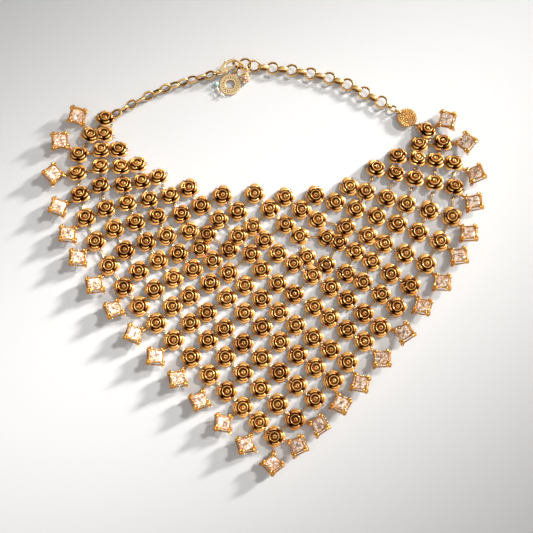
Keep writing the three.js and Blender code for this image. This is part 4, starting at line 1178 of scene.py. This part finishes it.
# %% Disc
DISC_RADIUS, DISC_THICKNESS, HOLE_EDGE, HOLE_RADIUS = 5.5, 1.2, 1.6, 1.35
DISC_TARGET = np.array([84, 87, 0])
PEBBLE_RINGS = [(0.0, 1), (1.25, 6), (2.5, 12), (3.75, 18), (4.75, 26)]
disc_heading = (DISC_TARGET - right_middle[-1]) * [1, 1, 0]
disc_heading /= np.linalg.norm(disc_heading)
chain_end = right_middle[-1] + right_heading[-1] * (SMALL["length"] - SMALL["wire"]) / 2
hole_reach = DISC_RADIUS - HOLE_EDGE
disc_place = chain_end + disc_heading * hole_reach
pebble_xy = np.vstack([radius * np.column_stack([np.cos(full_circle(n) + n), np.sin(full_circle(n) + n)])
                       for radius, n in PEBBLE_RINGS])
pebble_xy = pebble_xy[np.hypot(np.abs(pebble_xy[:, 0]) - hole_reach, pebble_xy[:, 1]) > HOLE_RADIUS]
pebble = bead(0.56, [0, 0, 0], 7)
both_faces = [copies(pebble, turn("z", np.zeros(len(pebble_xy))),
                     np.column_stack([pebble_xy, np.full(len(pebble_xy), side * DISC_THICKNESS / 2)]))
              for side in (-1, 1)]
disc_edge = turned_ring([[DISC_RADIUS - 0.5, -0.62], [DISC_RADIUS, -0.5], [DISC_RADIUS, 0.5],
                         [DISC_RADIUS - 0.5, 0.62]], 40, [0.2, 0, 0, 0.1])
hole_rim = oval_ring(2 * HOLE_RADIUS, 2 * HOLE_RADIUS, 0.45, 14, 6)
hole_rims = [moved(hole_rim, [x, 0, DISC_THICKNESS / 2]) for x in (-hole_reach, hole_reach)]
disc_detail = together([*both_faces, disc_edge, *hole_rims])
add_piece("disc_pebbles", laid(disc_detail, disc_place, disc_heading, 0), chain_gold)
ring_place = disc_place + disc_heading * (hole_reach + (RING["width"] - RING["wire"]) / 2)
add_piece("disc_jump_ring", laid(oval_ring(**RING), ring_place, disc_heading, 90), chain_gold,
          replaces=["disc_ring"])
end_place = ring_place + disc_heading * (inner_half(RING) + inner_half(SMALL) - LINK_GAP)
add_piece("right_end_link", laid(link_shape(SMALL), end_place, disc_heading, 0), chain_gold)

# %% [markdown]
# ## Small charms
# Beside the tag hangs a charm of a turquoise bead and two tiny pearls on a bent wire, and from the
# second round link hangs a faceted peach ball under a gold cap.

# %% Charm materials
def milky_material(name, dark, light, roughness, scale):
    """Glossy stone or pearl whose colour drifts between two tones with a soft noise."""
    material, tree, shader = plain_material(name, light, roughness, Coat_Weight=0.6)
    place = added(tree, "TexCoord")
    cloud = added(tree, "TexNoise", Scale=scale, Detail=5)
    ramp = colour_ramp(tree, (0.35, dark), (0.65, light))
    tree.links.new(place.outputs["Object"], cloud.inputs["Vector"])
    tree.links.new(cloud.outputs["Fac"], ramp.inputs["Fac"])
    tree.links.new(ramp.outputs["Color"], shader.inputs["Base Color"])
    return material


turquoise = milky_material("turquoise", (0.30, 0.60, 0.60), (0.55, 0.82, 0.82), 0.25, 900)
pearl = milky_material("pearl", (0.80, 0.74, 0.68), (0.95, 0.92, 0.88), 0.2, 600)
print("turquoise and pearl made")

# %% Stone charm
CHARM_REACH, CHARM_HEIGHT = 7.75, 1.4


def beside_tag(degrees):
    """Points on the circle of the charm's wire round the tag."""
    a = np.radians(degrees)
    circle = np.stack([np.cos(a), np.sin(a), 0 * a], -1) * CHARM_REACH
    return circle + [tag_centre[0], tag_centre[1], CHARM_HEIGHT]


def ball(radius, place, around=14, levels=9):
    """Smooth ball from rings at even latitudes."""
    lift = np.radians(np.linspace(-80, 80, levels))
    return moved(lathe(radius * np.cos(lift), radius * np.sin(lift), around), place)


charm_wire = wire_along(beside_tag(np.linspace(165, 245, 14)), 0.3, 7)
add_piece("charm_wire", charm_wire, clasp_gold)
add_piece("charm_stone", ball(1.35, beside_tag(np.array(178.0))), turquoise, replaces=["stone_charm"])
pearls = [ball(0.85, beside_tag(np.array(degrees))) for degrees in (203.0, 228.0)]
add_piece("charm_pearls", together(pearls), pearl)

# %% Ball charm
BALL_RADIUS, BALL_LOOP = 2.9, 3.4
loop_at = BALL_RADIUS + BALL_LOOP / 2
hook = SPARE_PLACE - [0, round_reach, 0]
ball_slope = math.asin((hook[2] - BALL_RADIUS) / loop_at)
ball_axis = np.array([0, math.cos(ball_slope), math.sin(ball_slope)])
ball_place = hook - ball_axis * loop_at
upright = turn("x", math.degrees(ball_slope) - 90)


def faceted_ball(radius, around, levels):
    """Ball of flat facets: each ring is turned by half a step against the one below it."""
    lift = np.radians(np.linspace(-75, 60, levels))[:, None]
    a = (2 * np.pi * (np.arange(around)[None] + 0.5 * (np.arange(levels)[:, None] % 2)) / around)
    rings = radius * np.stack([np.cos(lift) * np.cos(a), np.cos(lift) * np.sin(a), np.sin(lift) + 0 * a], -1)
    return loft(rings)


# The cap darker under its rim, by the ball: patina and painted shade.
cap = lathe([0.1, 1.1, 2.0, 2.55, 2.7, 2.4, 0.6], [3.1, 3.05, 2.55, 1.75, 1.25, 1.2, 1.4], 14,
            [0, 0, 0.1, 0.3, 0.1, 0.8, 0.8])
cap_beads = round_axis(bead(0.34, [2.66, 0, 1.3], 6), 30 * np.arange(12))
cap_loop = copies(oval_ring(BALL_LOOP, BALL_LOOP, 0.8, 16, 7), turn("x", 90), [0, 0, loop_at])
whole_cap = copies(together([cap, cap_beads, cap_loop]), upright, ball_place)
add_piece("ball_cap", whole_cap, clasp_gold)
cut_ball = faceted_ball(BALL_RADIUS, 10, 7)
ball_facets = triangles_of(cut_ball)
# Each facet of the ball gets a chance tone of painted reflection.
ball_tones = rng.choice([0.15, 0.4, 0.6, 1.0], len(ball_facets))
toned_ball = copies(with_tones(cut_ball.points, ball_facets, ball_tones), upright, ball_place)
add_piece("ball_stone", toned_ball, peach_crystal, replaces=["ball_charm"], smoothed=False)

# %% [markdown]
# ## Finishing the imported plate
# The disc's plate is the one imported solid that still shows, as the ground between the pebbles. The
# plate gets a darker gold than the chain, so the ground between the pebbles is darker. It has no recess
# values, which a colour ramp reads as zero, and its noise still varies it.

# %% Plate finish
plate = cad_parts["textured_disc"]
plate.data.materials.clear()
plate.data.materials.append(ground_gold)
print("new pieces have", total_triangles, "triangles")
